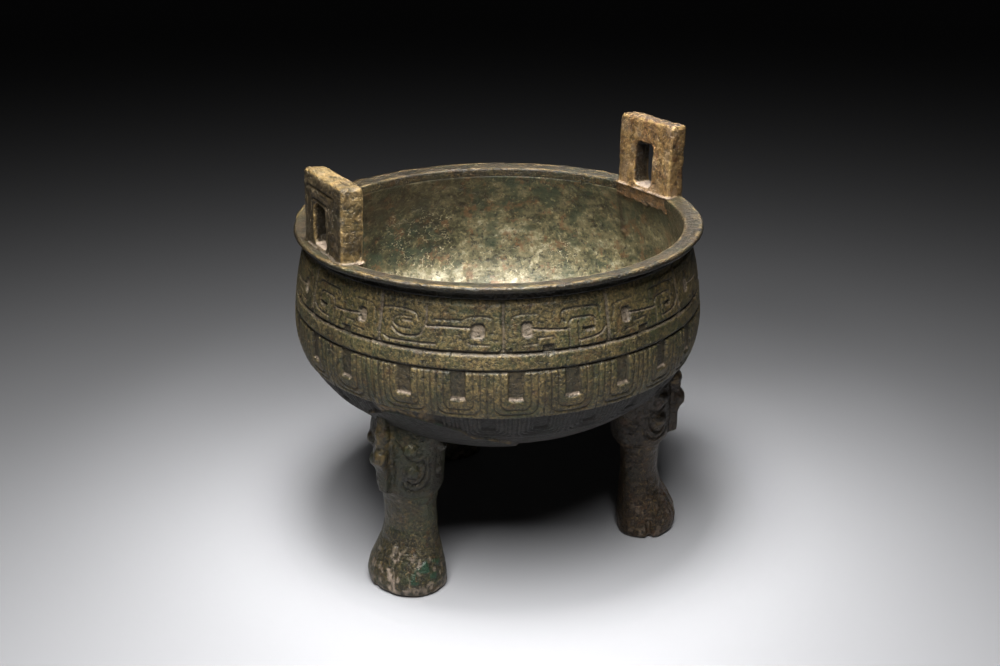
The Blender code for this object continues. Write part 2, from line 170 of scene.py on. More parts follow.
def evenly(path, spacing):        # the same profile with points at even steps
    path = np.array(path, float)
    along = np.concatenate([[0.0], np.cumsum(np.linalg.norm(np.diff(path, axis=0), axis=1))])
    where = np.linspace(0.0, along[-1], max(2, round(along[-1] / spacing)) + 1)
    return np.stack([np.interp(where, along, path[:, axis]) for axis in (0, 1)], axis=1)


def wallPath(top, bottom, spacing, inwards=0.0):
    upper = np.arange(top, bowl["widest"] + 0.1, -0.4)
    lean = np.radians(np.linspace(0.0, 90.0, 2500))
    radius = np.concatenate([wallRadius(upper), bowl["belly"] * np.cos(lean) ** (2.0 / bowl["fullness"])])
    radius[-1] = 0.0
    height = np.concatenate([upper, bowl["widest"] - bowl["depth"] * np.sin(lean)])
    path = np.stack([radius, height], axis=1)
    normals = outwards(path)
    normals[-1] = (0.0, -1.0)
    keep = (height <= top + 1e-6) & (height >= bottom - 1e-6)
    return evenly((path - normals * inwards)[keep], spacing)


# Making and finishing pieces.

def settle(shape, mesh):          # writes a made shape into a mesh
    shape.to_mesh(mesh)
    shape.free()
    return mesh


# A grid whose rows follow a closed profile and whose columns go round the axis.
def rolled(name, surface, hidden, steps):
    poles = surface[0][0] * surface[-1][0] == 0.0
    first = len(surface) if poles and hidden[0][0] == 0.0 else 0     # a piece with poles starts at one
    count = len(surface) + len(hidden)
    shape = bmesh.new()
    bmesh.ops.create_grid(shape, x_segments=count - poles, y_segments=steps, size=1.0)
    mesh = settle(shape, bpy.data.meshes.new(name))
    flat = listed(mesh.vertices, "co")
    rows = np.rint((flat[:, 0] + 1.0) / 2.0 * (count - poles)).astype(int) + first
    return mesh, rows % count, (flat[:, 1] + 1.0) * math.pi


# Welds the seams and poles of a rolled piece and turns its faces outwards.
def closed(mesh):
    shape = bmesh.new()
    shape.from_mesh(mesh)
    border = [vertex for vertex in shape.verts if vertex.is_boundary]
    bmesh.ops.remove_doubles(shape, verts=border, dist=0.002)
    thin = [edge for edge in shape.edges if edge.calc_length() < 0.0005]
    bmesh.ops.dissolve_degenerate(shape, edges=thin, dist=0.001)
    bmesh.ops.recalc_face_normals(shape, faces=shape.faces)
    settle(shape, mesh)


def listed(items, key):           # a vector of each item, as rows
    rows = np.zeros(len(items) * 3)
    items.foreach_get(key, rows)
    return rows.reshape(-1, 3)


# Writes moved points and painted marks, and attaches the piece to the root body.
def finish(mesh, points, marks, material, seams=False):
    mesh.vertices.foreach_set("co", points.ravel())
    for mark, values in marks.items():
        layer = mesh.attributes.new(mark, "FLOAT", "POINT")
        layer.data.foreach_set("value", np.clip(values, 0.0, 1.0).astype(np.float32))
    if seams:
        closed(mesh)
    mesh.transform(Matrix.Scale(mm, 4))
    mesh.shade_smooth()
    mesh.calc_loop_triangles()
    piece = bpy.data.objects.new(mesh.name, mesh)
    scene.collection.objects.link(piece)
    mesh.materials.append(material)
    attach(piece, "root")
    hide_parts("ding_vessel")
    print(f"{mesh.name}: {len(mesh.loop_triangles)} triangles")
    return piece


# How much more a moved surface looks up than the plain wall did.
def slopes(mesh, points, *plain):
    mesh.vertices.foreach_set("co", points.ravel())
    mesh.update()
    moved, plain = listed(mesh.vertex_normals, "vector"), np.stack(plain, axis=1)
    way = np.sign((moved * plain).sum())
    return moved[:, 2] * way - plain[:, 2]


# Deposits keep to faces that tilt up; faces that tilt down get painted shade.
settled = dict(upTilt=(-0.25, 0.15), least=0.3, downTilt=(0.12, 0.5), dirt_and_shade=0.85)


def ringPiece(name, surface, hidden, steps, relief, material):
    mesh, rows, angle = rolled(name, surface, hidden, steps)
    path = np.concatenate([surface, hidden])
    normals = np.concatenate([outwards(surface), np.zeros_like(hidden)])
    shows = rows < len(surface)
    base = path[rows[shows]]
    turn = angle[shows] % math.tau
    around = np.stack([base[:, 0] * np.cos(turn), base[:, 0] * np.sin(turn), base[:, 1]], axis=1)
    lift = np.zeros(len(rows))
    lift[shows], painted = relief(np.degrees(turn), base, around)
    marks = {mark: np.zeros(len(rows)) for mark in painted}
    for mark, values in painted.items():
        marks[mark][shows] = values
    level, upright = normals[rows].T
    radius = path[rows, 0] + level * lift
    height = path[rows, 1] + upright * lift
    points = np.stack([radius * np.cos(angle), radius * np.sin(angle), height], axis=1)
    slope = slopes(mesh, points, np.cos(angle) * level, np.sin(angle) * level, upright)
    marks["grime"] *= mix(settled["least"], 1.0, rise(slope, *settled["upTilt"]))
    # Painted shade: faces that tilt down are darkened through the soot mark.
    dirt_and_shade = settled["dirt_and_shade"] * rise(-slope, *settled["downTilt"]) * shows
    marks["soot_and_shade"] = np.maximum(marks["soot_and_shade"], dirt_and_shade)
    return finish(mesh, points, marks, material, seams=True)


# Finishes. Sizes are in millimetres.

class Thread:
    def __init__(self, finish, socket):
        self.finish, self.socket = finish, socket

    def __add__(self, other):
        return self.finish.number("ADD", self, other)

    def __sub__(self, other):
        return self.finish.number("SUBTRACT", self, other)

    def __rsub__(self, other):
        return self.finish.number("SUBTRACT", other, self)

    def __mul__(self, other):
        return self.finish.number("MULTIPLY", self, other)

    __radd__ = __add__
    __rmul__ = __mul__


class Finish:
    def __init__(self, name):
        self.material = bpy.data.materials.new(name)
        self.material.use_nodes = True
        self.tree = self.material.node_tree
        self.shader = self.tree.nodes["Principled BSDF"]
        self.place = self.node("ShaderNodeTexCoord", out="Object")

    def node(self, kind, settings=None, inputs=None, out=0):
        made = self.tree.nodes.new(kind)
        for key, value in (settings or {}).items():
            setattr(made, key, value)
        for key, value in (inputs or {}).items():
            self.plug(made.inputs[key], value)
        return Thread(self, made.outputs[out])

    def number(self, operation, *values):
        return self.node("ShaderNodeMath", {"operation": operation}, dict(enumerate(values)))

    def plug(self, socket, value):
        if isinstance(value, Thread):
            self.tree.links.new(value.socket, socket)
        elif socket.type == "RGBA" and len(value) == 3:
            socket.default_value = (*value, 1.0)
        else:
            socket.default_value = value

    def noise(self, size, detail=3.0, roughness=0.55, shift=0.0, stretch=(1.0, 1.0, 1.0)):
        spot = self.node("ShaderNodeMapping", None, {
            "Vector": self.place, "Location": (shift, shift * 0.7, -shift), "Scale": stretch})
        return self.node("ShaderNodeTexNoise", None, {
            "Vector": spot, "Scale": 1000.0 / size, "Detail": detail, "Roughness": roughness})

    def mask(self, value, low, high):
        return self.node("ShaderNodeMapRange", {"interpolation_type": "SMOOTHSTEP"},
                         {"Value": value, "From Min": low, "From Max": high})

    def mark(self, name):
        return self.node("ShaderNodeAttribute", {"attribute_name": name}, out="Fac")

    def blend(self, amount, first, second):      # the node's colours are inputs 6 and 7 and output 2
        return self.node("ShaderNodeMix", {"data_type": "RGBA"}, {0: amount, 6: first, 7: second}, out=2)

    def ramp(self, value, *stops):
        made = self.node("ShaderNodeValToRGB", None, {"Fac": value}, out="Color")
        bar = made.socket.node.color_ramp.elements
        while len(bar) < len(stops):
            bar.new(0.5)
        for stop, (position, colour) in zip(bar, stops):
            stop.position, stop.color = position, (*colour, 1.0)
        return made

    def dress(self, looks):
        for name, value in looks.items():
            self.plug(self.shader.inputs[name], value)

    def bump(self, height, strength, distance):
        return self.node("ShaderNodeBump", None,
                         {"Height": height, "Strength": strength, "Distance": distance}, out="Normal")


tones = dict(
    green=(0.024, 0.040, 0.016), rust=(0.085, 0.034, 0.012), pit=(0.005, 0.004, 0.003),
    grime=(0.290, 0.225, 0.170), moss=(0.014, 0.040, 0.020), soot_and_shade=(0.006, 0.0055, 0.004),
)


# The vessel's outer skins: how much green, rust and bare specks, and how deep, coarse and rough.
def patina(name, dark, middle, light, green, rust, speck, pits=0.5, grain=1.0, rough=0.50,
           bare=(0.270, 0.180, 0.070)):
    skin = Finish(name)
    broad = skin.noise(42, 4)
    middling = skin.noise(10, 4, 0.6, 3.1)
    fine = skin.noise(4.2, 3, 0.6, 1.7)
    finest = skin.noise(2.3, 2, 0.6, 5.9)
    tone = broad * 0.20 + middling * 0.18 + fine * 0.27 + finest * 0.35
    specks = skin.mask(skin.noise(2.6, 3, 0.6, 21.0), 0.57, 0.65) * speck
    pitted = skin.mask(skin.noise(2.6, 2, 0.5, 26.0), 0.44, 0.36) * pits
    worn_and_sheen = skin.mark("wear_and_sheen") * skin.mask(fine * 0.6 + middling * 0.4, 0.34, 0.58)
    caked = skin.mark("grime") * skin.mask(fine * 0.5 + finest * 0.5, 0.30, 0.52)
    colour = skin.ramp(tone, (0.41, dark), (0.5, middle), (0.59, light))
    # The soot mark darkens with soot and with painted shade; the wear mark brightens with wear and with
    # painted highlights.
    for amount, over in (
            (skin.mask(skin.noise(26, 3, 0.6, 9.2), 0.44, 0.68) * green, tones["green"]),
            (skin.mask(skin.noise(9, 5, 0.65, 14.4), 0.54, 0.68) * rust, tones["rust"]),
            (specks, bare), (pitted, tones["pit"]), (worn_and_sheen, bare), (caked, tones["grime"]),
            (skin.mark("moss") * skin.mask(fine, 0.36, 0.5), tones["moss"]),
            (skin.mark("soot_and_shade"), tones["soot_and_shade"])):
        colour = skin.blend(amount, colour, over)
    height = fine * 0.9 + finest * 0.5 + specks * 0.35 - pitted * 0.8 + middling * 0.8
    skin.dress({"Base Color": colour,
                "Roughness": rough - worn_and_sheen * 0.14 + (fine - 0.5) * 0.4 + caked * 0.2,
                "Metallic": 0.30 + worn_and_sheen * 0.35 + specks * 0.3 - caked * 0.3,
                "Normal": skin.bump(height, 0.9, 0.0011 * grain)})
    return skin.material


innerTones = dict(
    ramp=((0.40, (0.008, 0.008, 0.005)), (0.47, (0.040, 0.038, 0.018)),
          (0.57, (0.135, 0.116, 0.062)), (0.69, (0.420, 0.385, 0.275))),
    teal=(0.020, 0.036, 0.022), rust=(0.120, 0.055, 0.022), cream=(0.340, 0.290, 0.160),
    streak=(0.090, 0.076, 0.042), pit=(0.010, 0.009, 0.005), thread=(0.330, 0.290, 0.190),
    dirt_and_shade=(0.020, 0.011, 0.005),
)


def innerPatina():
    skin = Finish("inner_patina")
    broad = skin.noise(70, 5, 0.65, 2.0, (1.0, 1.0, 1.6))
    middling = skin.noise(16, 5, 0.65, 8.0, (1.0, 1.0, 1.8))
    fine = skin.noise(4.2, 4, 0.65, 12.0)
    pale = skin.mark("pale")
    # The pale mark holds real pale deposit and painted light on the lit wall.
    tone = broad * 0.36 + middling * 0.36 + fine * 0.28 + pale * 0.14 - 0.030
    teal = skin.mask(skin.noise(26, 5, 0.7, 17.0), 0.48, 0.60) * (1 - pale * 0.7) * 0.75
    rusty = skin.mask(skin.noise(15, 6, 0.7, 23.0), 0.53, 0.62) * 0.65
    cream = skin.mask(skin.noise(5.0, 5, 0.65, 31.0), 0.57, 0.66) * (0.30 + pale * 0.2)
    streaks = skin.mask(skin.noise(16.0, 4, 0.6, 51.0, (1.0, 1.0, 4.0)), 0.50, 0.66) * pale * 0.4
    pitted = skin.mask(skin.noise(5.0, 3, 0.6, 41.0), 0.43, 0.36)
    bends = skin.noise(8.0, 2, 0.5, 37.0, (1.0, 1.0, 1.5)) - 0.5
    threads = skin.mask(skin.number("ABSOLUTE", bends), 0.018, 0.006) * skin.mark("threads")
    threads = threads * skin.mask(skin.noise(6.0, 2, 0.5, 45.0), 0.47, 0.55)
    colour = skin.ramp(tone, *innerTones["ramp"])
    # The soot mark paints soot and painted shade alike, in its dark tone.
    for amount, over in ((teal, "teal"), (rusty, "rust"), (cream, "cream"), (streaks, "streak"),
                         (pitted * 0.6, "pit"), (threads, "thread"), (skin.mark("soot_and_shade"), "dirt_and_shade")):
        colour = skin.blend(amount, colour, innerTones[over])
    height = fine + middling * 1.2 - pitted * 0.5 + threads * 0.4
    skin.dress({"Base Color": colour, "Roughness": 0.46 + (fine - 0.5) * 0.5, "Metallic": 0.2,
                "Normal": skin.bump(height, 0.8, 0.0010)})
    return skin.material


bandSkin = patina("band_patina", (0.015, 0.013, 0.006), (0.063, 0.050, 0.021), (0.160, 0.115, 0.045),
                  green=0.45, rust=0.35, speck=0.30)
lowerSkin = patina("lower_patina", (0.005, 0.005, 0.005), (0.014, 0.012, 0.011), (0.032, 0.027, 0.021),
                   green=0.15, rust=0.20, speck=0.04, pits=0.3, rough=0.62)
rimSkin = patina("rim_patina", (0.006, 0.005, 0.003), (0.017, 0.013, 0.006), (0.052, 0.036, 0.015),
                 green=0.25, rust=0.30, speck=0.22, rough=0.48, bare=(0.240, 0.160, 0.062))
leftHandleSkin = patina("left_handle_patina", (0.028, 0.019, 0.008), (0.082, 0.056, 0.023),
                        (0.165, 0.112, 0.048), green=0.25, rust=0.25, speck=0.35, grain=1.3)
rightHandleSkin = patina("right_handle_patina", (0.026, 0.013, 0.005), (0.090, 0.046, 0.017),
                         (0.190, 0.100, 0.038), green=0.10, rust=0.40, speck=0.35, grain=1.3)
innerSkin = innerPatina()
legSkin = patina("leg_patina", (0.012, 0.011, 0.006), (0.037, 0.031, 0.015), (0.078, 0.061, 0.029),
                 green=0.45, rust=0.35, speck=0.25, rough=0.42)
rightLegSkin = patina("right_leg_patina", (0.010, 0.007, 0.004), (0.029, 0.018, 0.009),
                      (0.066, 0.041, 0.020), green=0.10, rust=0.50, speck=0.30, rough=0.42)
print("finishes made")


# Carving of the outside. Lines are (degrees from the bound that a dragon faces, height).
dragon = dict(
    bounds=(87.3, 119.0, 151.4, 179.4, 207.3, 240.4, 268.3, 296.3, 327.3, 355.3, 385.3, 416.0, 447.3),
    meet=240.4,           # the two files of dragons face each other here
    turn=28.0,            # the field that the lines are drawn for
    stretch=0.45,         # how far they follow a wider one
    longStart=207.3,      # this field's dragon is drawn longer
    lowest=244.0,         # the band's cuts end here
    bottom=247.3,
    top=283.0,
    corner=4.0,
    strip=2.4,            # divider between two fields
    stripDepth=1.6,
    stripDeposit=0.45,
)

shortLines = [        # path, width, depth, deposit
    ([(7.2, 264.5), (12.5, 262.6), (17.0, 262.0)], 1.5, 1.3, 0.7),
    ([(16.9, 263.5), (16.9, 246.0)], 1.4, 1.3, 0.2),
    ([(16.8, 262.5), (16.9, 267.0), (17.8, 269.6), (20.5, 270.0), (23.3, 269.9), (24.3, 267.5),
      (24.1, 263.5)], 1.3, 1.2, 0.35),
    ([(19.4, 266.0), (19.4, 246.5)], 1.4, 1.3, 0.15),
    ([(15.9, 268.0), (14.9, 269.8), (14.8, 275.8), (16.0, 277.0), (20.6, 277.3), (25.2, 276.8),
      (25.7, 274.5), (25.6, 272.0)], 1.4, 1.1, 0.1),
    ([(19.4, 252.3), (23.6, 252.9), (26.0, 255.0), (27.3, 260.0)], 1.4, 1.2, 0.5),
    ([(20.9, 260.8), (23.6, 260.8)], 2.4, 1.8, 0.0),
    ([(21.6, 259.0), (23.6, 259.0)], 1.8, 0.9, 0.4),
    ([(8.6, 257.0), (12.6, 257.6)], 1.1, 0.7, 0.3),
    ([(5.0, 252.0), (8.6, 253.0)], 1.1, 0.7, 0.2),
    ([(1.6, 265.0), (1.9, 273.0), (3.1, 275.6), (8.6, 276.0)], 1.1, 0.7, 0.1),
    ([(1.8, 246.5), (1.8, 249.0)], 2.6, 1.2, 0.0),
]
shortPits = [         # left, right, bottom and top, then corner, depth, deposit
    ((4.6, 7.4, 258.0, 270.0), 3.4, 2.5, 0.7),
    ((9.9, 12.9, 243.0, 251.5), 0.8, 2.0, 0.2),
]
longLines = [
    ([(8.0, 266.0), (14.0, 266.0), (20.2, 265.4)], 1.5, 1.3, 0.7),
    ([(20.1, 281.0), (19.7, 272.0), (20.2, 265.4)], 1.6, 1.3, 0.5),
    ([(20.2, 265.4), (20.9, 261.5), (21.3, 258.0), (22.9, 256.0), (26.4, 255.6), (28.4, 257.6),
      (29.4, 261.0)], 1.4, 1.3, 0.45),
    ([(32.4, 275.0), (27.4, 276.4), (23.4, 275.2), (22.2, 272.0), (22.2, 269.0)], 1.3, 0.8, 0.2),
    ([(24.0, 270.5), (26.6, 270.8), (29.0, 269.0), (29.4, 264.0), (27.2, 261.0), (24.0, 261.2)],
     1.2, 0.8, 0.2),
    ([(24.3, 268.0), (26.0, 267.6)], 2.4, 0.9, 0.3),
    ([(31.6, 253.0), (30.4, 250.9), (26.0, 251.2), (17.4, 251.8)], 1.4, 1.0, 0.4),
    ([(17.9, 271.0), (10.4, 271.0), (9.6, 273.6), (8.0, 274.6), (2.9, 274.8), (2.6, 270.0), (2.7, 262.0)],
     1.2, 0.8, 0.1),
    ([(8.9, 254.0), (8.2, 252.6), (3.4, 252.4)], 1.1, 0.7, 0.3),
]
longPits = [((4.6, 8.2, 257.5, 269.5), 4.0, 2.5, 0.7)]


# Presses a cut into the relief where it is deeper, with the deposit on its floor.
def addCut(depth, grime, inside, gap, cut, deposit):
    pressed = sink(gap) * cut
    deeper = pressed > depth[inside]
    depth[inside] = np.where(deeper, pressed, depth[inside])
    caked = rise(-gap, -0.3, 0.25) * deposit
    grime[inside] = np.where(deeper, caked, grime[inside])


def dragonBand(turn, height, depth, grime):
    starts, ends = dragon["bounds"][:-1], dragon["bounds"][1:]
    turn = np.where(turn < dragon["bounds"][0], turn + 360.0, turn)
    for start, end in zip(starts, ends):
        inside = (turn >= start) & (turn < end) & (height > dragon["lowest"])
        along, up = turn[inside], height[inside]
        far = (end - start) * degree
        x = (end - along) if end <= dragon["meet"] else (along - start)
        panel = boxGap(x * degree, up, dragon["strip"] / 2, far - dragon["strip"] / 2,
                       dragon["bottom"], dragon["top"] + 30.0, dragon["corner"])
        addCut(depth, grime, inside, -panel, dragon["stripDepth"], dragon["stripDeposit"])
        isLong = start == dragon["longStart"]
        stretch = 1.0 if isLong else mix(1.0, (end - start) / dragon["turn"], dragon["stretch"])
        x = x / stretch * degree
        for path, width, cut, deposit in longLines if isLong else shortLines:
            line = rounded([(across * degree, high) for across, high in path])
            addCut(depth, grime, inside, lineGap(x, up, line) - width / 2, cut, deposit)
        for (left, right, low, high), corner, cut, deposit in longPits if isLong else shortPits:
            gap = boxGap(x, up, left * degree, right * degree, low, high, corner)
            addCut(depth, grime, inside, gap, cut, deposit)


scales = dict(
    start=85.2, margin=4.0, count=8,
    top=231.3, bottom=188.5, hemBottom=161.5,
    slotHalf=6.2, slotFoot=206.0, footHalf=1.3,       # footHalf: half the height of the deposit there
    line=0.65, lineDepth=1.0, lineDeposit=0.1,
    step=1.5,             # how far the lower row lies back
)
# Half width, bottom and corner of slots, or of frames where there is a line, then half that line's
# width, depth and deposit.
scaleCuts = (
    (scales["slotHalf"], scales["slotFoot"], 2.0, None, 2.3, 0.15),
    (12.0, 197.5, 6.0, scales["line"], scales["lineDepth"], scales["lineDeposit"]),
    (17.6, 192.8, 8.0, scales["line"], scales["lineDepth"], scales["lineDeposit"]),
)
hemStrokes = ((9.5, 170.5), (13.3, 167.9), (17.0, 165.3), (20.6, 162.7))
hemCuts = ((6.4, 172.5, 2.0, None, 1.9, 0.05),) + tuple(
    (half, bottom, 5.0, 0.6, 1.5, 0.0) for half, bottom in hemStrokes)


def scaleBands(turn, height, depth, grime):
    pitch = (120.0 - scales["margin"]) / scales["count"]
    local = ((turn - scales["start"]) % 120.0 - scales["margin"] / 2) / pitch
    upper = (local - np.floor(local) - 0.5) * pitch * degree
    lower = (local - np.round(local)) * pitch * degree
    inUpper = (height > scales["bottom"]) & (height < scales["top"])
    inLower = (height <= scales["bottom"]) & (height > scales["hemBottom"])
    for cuts, x, within in ((scaleCuts, upper, inUpper), (hemCuts, lower, inLower)):
        for half, bottom, corner, line, cut, deposit in cuts:
            gap = boxGap(x, height, -half, half, bottom, scales["top"] + 60.0, corner)
            gap = gap if line is None else np.abs(gap) - line
            addCut(depth, grime, slice(None), np.where(within, gap, farOff), cut, deposit)
    parting = np.where(inUpper, pitch / 2 * degree - np.abs(upper) - scales["line"], farOff)
    addCut(depth, grime, slice(None), parting, scales["lineDepth"], scales["lineDeposit"])
    caked = sink(np.abs(height - scales["slotFoot"] - 1.6) - scales["footHalf"])
    caked *= sink(np.abs(upper) - scales["slotHalf"] + 0.4) * inUpper
    grime[:] = np.maximum(grime, caked)


patch = dict(       # metal that ran under the mould's edge over the front leg, with its ragged border
    edge=((198, 170), (203, 178), (207, 183), (213, 184), (219, 181), (224, 177), (228, 173), (230, 168),
          (232, 163.5), (236, 161), (240, 156), (246, 146)),
    ragged=1.6, lift=0.3, lip=0.6, lipWidth=1.4, shows=0.06, dirt_and_shade=0.45,
    goldTurns=(201.0, 206.0, 216.0, 226.0),      # worn bare above the patch
    greenTurns=(203.0, 209.0, 224.0, 232.0),
)
carved = dict(
    grooves=((246.0, 1.15, 2.2), (scales["top"], 1.2, 2.0)),       # height, half width, depth
    grooveDeposit=0.1,
    faintTurns=(292.0, 304.0), faint=0.6,        # the dragons are shallower at the right
    # Painted shade in the cuts: the cut depth over which it darkens, how dark, and how dark in the hem.
    darkDepth=(0.3, 0.9), dark=0.7, hemDark=0.95,
    endStep=0.8, neckStep=0.7,
    ridge=0.5, ridgeHalf=0.7, ridgeFoot=(165.0, 170.0), ridgeCut=0.6,      # the mould's seam
)


def between(value, start, full, fades, end):      # up from start to full, down from fades to end
    return rise(value, start, full) * rise(end - value, 0.0, end - fades)


# How far the outside is raised or cut, what lies on it, and where painted shade darkens it.
def carving(turn, path, points):
    height = path[:, 1]
    bent = turn + grit(points, 16.0, 2) * 0.45 / degree
    high = height + grit(points, 19.0, 2, 7.0) * 0.45
    depth, grime = np.zeros(len(turn)), np.zeros(len(turn))
    dragonBand(bent, high, depth, grime)
    scaleBands(bent, np.where(np.abs(height - scales["bottom"]) < 0.9, height, high), depth, grime)
    for middle, half, cut in carved["grooves"]:
        addCut(depth, grime, slice(None), np.abs(height - middle) - half, cut, carved["grooveDeposit"])
    depth *= 1.0 - carved["faint"] * rise(turn, *carved["faintTurns"]) * rise(height, 245.0, 248.0)
    hemmed = 1.0 - rise(height, scales["bottom"] - 0.5, scales["bottom"] + 0.5)
    # Painted shade darkens the cuts, more in the hem, none where deposit lies.
    dark = mix(carved["dark"], carved["hemDark"], hemmed) * (1.0 - grime)
    dark *= rise(depth, *carved["darkDepth"])
    ended = 1.0 - rise(height, scales["hemBottom"] - 0.6, scales["hemBottom"] + 0.6)
    lift = -depth - scales["step"] * hemmed - carved["endStep"] * ended
    seam = np.min([np.abs(apart(turn, at)) for at in seamTurns], axis=0)
    ridge = sink(seam - carved["ridgeHalf"], 0.7) * rise(height, *carved["ridgeFoot"])
    lift = np.maximum(lift, mix(-farOff, -carved["ridgeCut"], ridge)) + carved["ridge"] * ridge
    lift -= carved["neckStep"] * rise(height, dragon["top"] - 1.0, dragon["top"] + 1.0)

    turns, heights = zip(*patch["edge"])
    border = np.interp(turn, turns, heights, left=0.0, right=0.0)
    border = border + grit(points, 7.0, 3, 2.0) * patch["ragged"]
    bordered = border > 100.0
    covered = sink(height - border, 0.6)
    gold = between(turn, *patch["goldTurns"]) * hemmed * (1.0 - covered)
    lift = mix(lift, -0.6 * scales["step"], gold)
    dark *= (1.0 - gold) * (1.0 - covered)
    relief = lift + scales["step"] * hemmed
    lift = mix(lift, patch["lift"] - scales["step"] * 0.4 + relief * patch["shows"], covered)
    lip = sink(np.abs(height - border + patch["lipWidth"] / 2) - patch["lipWidth"] / 2, 0.5)
    lift += patch["lip"] * lip * bordered
    lift += grit(points, 30.0, 2, 4.0) * 0.25 + grit(points, 5.0, 3, 9.0) * 0.13
    edged = lip * bordered * rise(lumps(points, 5.0), 0.3, 0.6)
    green = between(turn, *patch["greenTurns"])
    wear_and_sheen = np.maximum(0.45 * edged * (1.0 - green), 0.4 * ridge * (1.0 - covered))
    wear_and_sheen = np.maximum(wear_and_sheen, 0.5 * gold * rise(lumps(points, 4.0, 12.0), 0.3, 0.7))
    soot_and_shade = np.maximum(dark, covered * patch["dirt_and_shade"] * (1.0 - lip))
    return lift, dict(grime=grime * (1.0 - covered), wear_and_sheen=wear_and_sheen, moss=0.6 * edged * green, soot_and_shade=soot_and_shade)


# name, top, bottom, steps down the shown and the hidden side, columns, finish
bands = (
    ("dragon_band", 287.5, 246.0, 0.75, 8.0, 1400, bandSkin),
    ("plain_band", 246.0, 231.3, 1.1, 8.0, 960, bandSkin),
    ("scale_band", 231.3, 188.5, 0.86, 8.0, 1400, bandSkin),
    ("lower_scales", 188.5, 158.0, 1.0, 8.0, 1000, lowerSkin),
    ("underside", 158.0, bowl["widest"] - bowl["depth"], 2.4, 9.0, 420, lowerSkin),
)
overlap = 1.2         # how far a piece's hidden faces reach past its shown ones


def bowlOutside():
    for name, top, bottom, spacing, hiddenSpacing, steps, material in bands:
        surface = wallPath(top, bottom, spacing)
        surface[0], surface[-1] = (wallRadius(top), top), (wallRadius(bottom), bottom)
        hidden = wallPath(top + overlap, bottom - overlap, hiddenSpacing, bowl["skin"])[::-1]
        ringPiece(name, surface, hidden, steps, carving, material)


rim = dict(
    profile=((163.2, 291.0), (163.0, 296.4), (163.3, 298.4), (164.8, 299.3), (171.0, 299.9),
             (177.4, 300.8), (179.2, 300.4), (179.9, 298.8), (179.6, 296.8), (178.2, 295.6),
             (171.0, 294.8), (168.3, 293.4)),
    neckBottom=287.5,
    ridge=177.3, ridgeHalf=1.1,       # the two raised edges of the flat top, worn bright and painted with highlight lines
    brim=164.6, brimHalf=0.9,
    wornTurns=(140.0, 155.0, 175.0, 190.0), wornBack=4.0,      # the outer edge stands back here
    # nicks in the outer edge, then how dark the painted shade on the lip is
    nicks=0.7, dirt_and_shade=0.55,
)


def rimRelief(turn, path, points):
    radius, height = path[:, 0], path[:, 1]
    fixed = rise(radius, 163.6, 165.0) * rise(height, 288.0, 291.0)
    top = rise(height, 298.2, 299.4)
    edge = rise(height, 295.6, 297.0) * rise(radius, 177.0, 179.0)
    lift = (grit(points, 26.0, 2) * 0.45 + grit(points, 6.0, 3, 3.0) * 0.28) * fixed
    lift -= edge * rim["nicks"] * rise(lumps(points, 9.0, 6.0), 0.62, 0.80)
    lift -= rim["wornBack"] * rise(radius, 175.0, 179.0) * between(turn, *rim["wornTurns"])
    # The raised edges are worn bright and also painted as highlight lines.
    ridge = np.exp(-((radius - rim["ridge"]) / rim["ridgeHalf"]) ** 2) * top
    brim = np.exp(-((radius - rim["brim"]) / rim["brimHalf"]) ** 2) * top
    worn_and_sheen = np.maximum(0.8 * ridge, 0.7 * brim) * rise(lumps(points, 7.0, 1.0), 0.2, 0.6)
    worn_and_sheen = np.maximum(worn_and_sheen, 0.15 * top * rise(lumps(points, 4.0, 5.0), 0.55, 0.8))
    # Painted shade on the lip's outer face and underside.
    soot_and_shade = rim["dirt_and_shade"] * rise(300.2 - height, 0.0, 0.8) * rise(radius, 166.5, 168.0)
    return lift, dict(wear_and_sheen=worn_and_sheen, grime=top * 0.1 * rise(lumps(points, 11.0, 8.0), 0.6, 0.8), soot_and_shade=soot_and_shade)


def bowlRim():
    bottom = rim["neckBottom"]
    neck = [(float(wallRadius(height)), height) for height in (291.0, 289.0, bottom)]
    surface = evenly(rounded(list(rim["profile"]) + neck), 1.0)
    surface[-1] = (wallRadius(bottom), bottom)
    within = wallRadius(bottom) - 3.0
    hidden = np.array([(within, bottom - overlap), (within, 289.6)])
    ringPiece("rim", surface, hidden, 720, rimRelief, rimSkin)


inside = dict(
    top=291.0,
    radius=163.2,
    deepest=0.35,         # deeper cuts would reach the hidden faces behind the lining
    # the wall at this turn faces the light and is painted lighter; the far turns get painted shade
    brightTurn=25.0,
    farTurns=(100.0, 135.0, 200.0),
    streakTurn=13.4, streakTop=284.0, streakFoot=247.0, streakHalf=2.2, streakLift=0.7,
    knob=3.2, knobLift=2.2,
    furrows=((350.5, 292.0, 250.0), (353.2, 287.0, 232.0), (356.0, 284.0, 246.0)),     # turn, top, bottom
    furrowHalf=2.6, furrowDepth=1.3,
    threads=((86.0, 262.0, 185.0, 38.0), (36.0, 222.0, 196.0, 12.0)),     # turn, top, bottom, half width
)


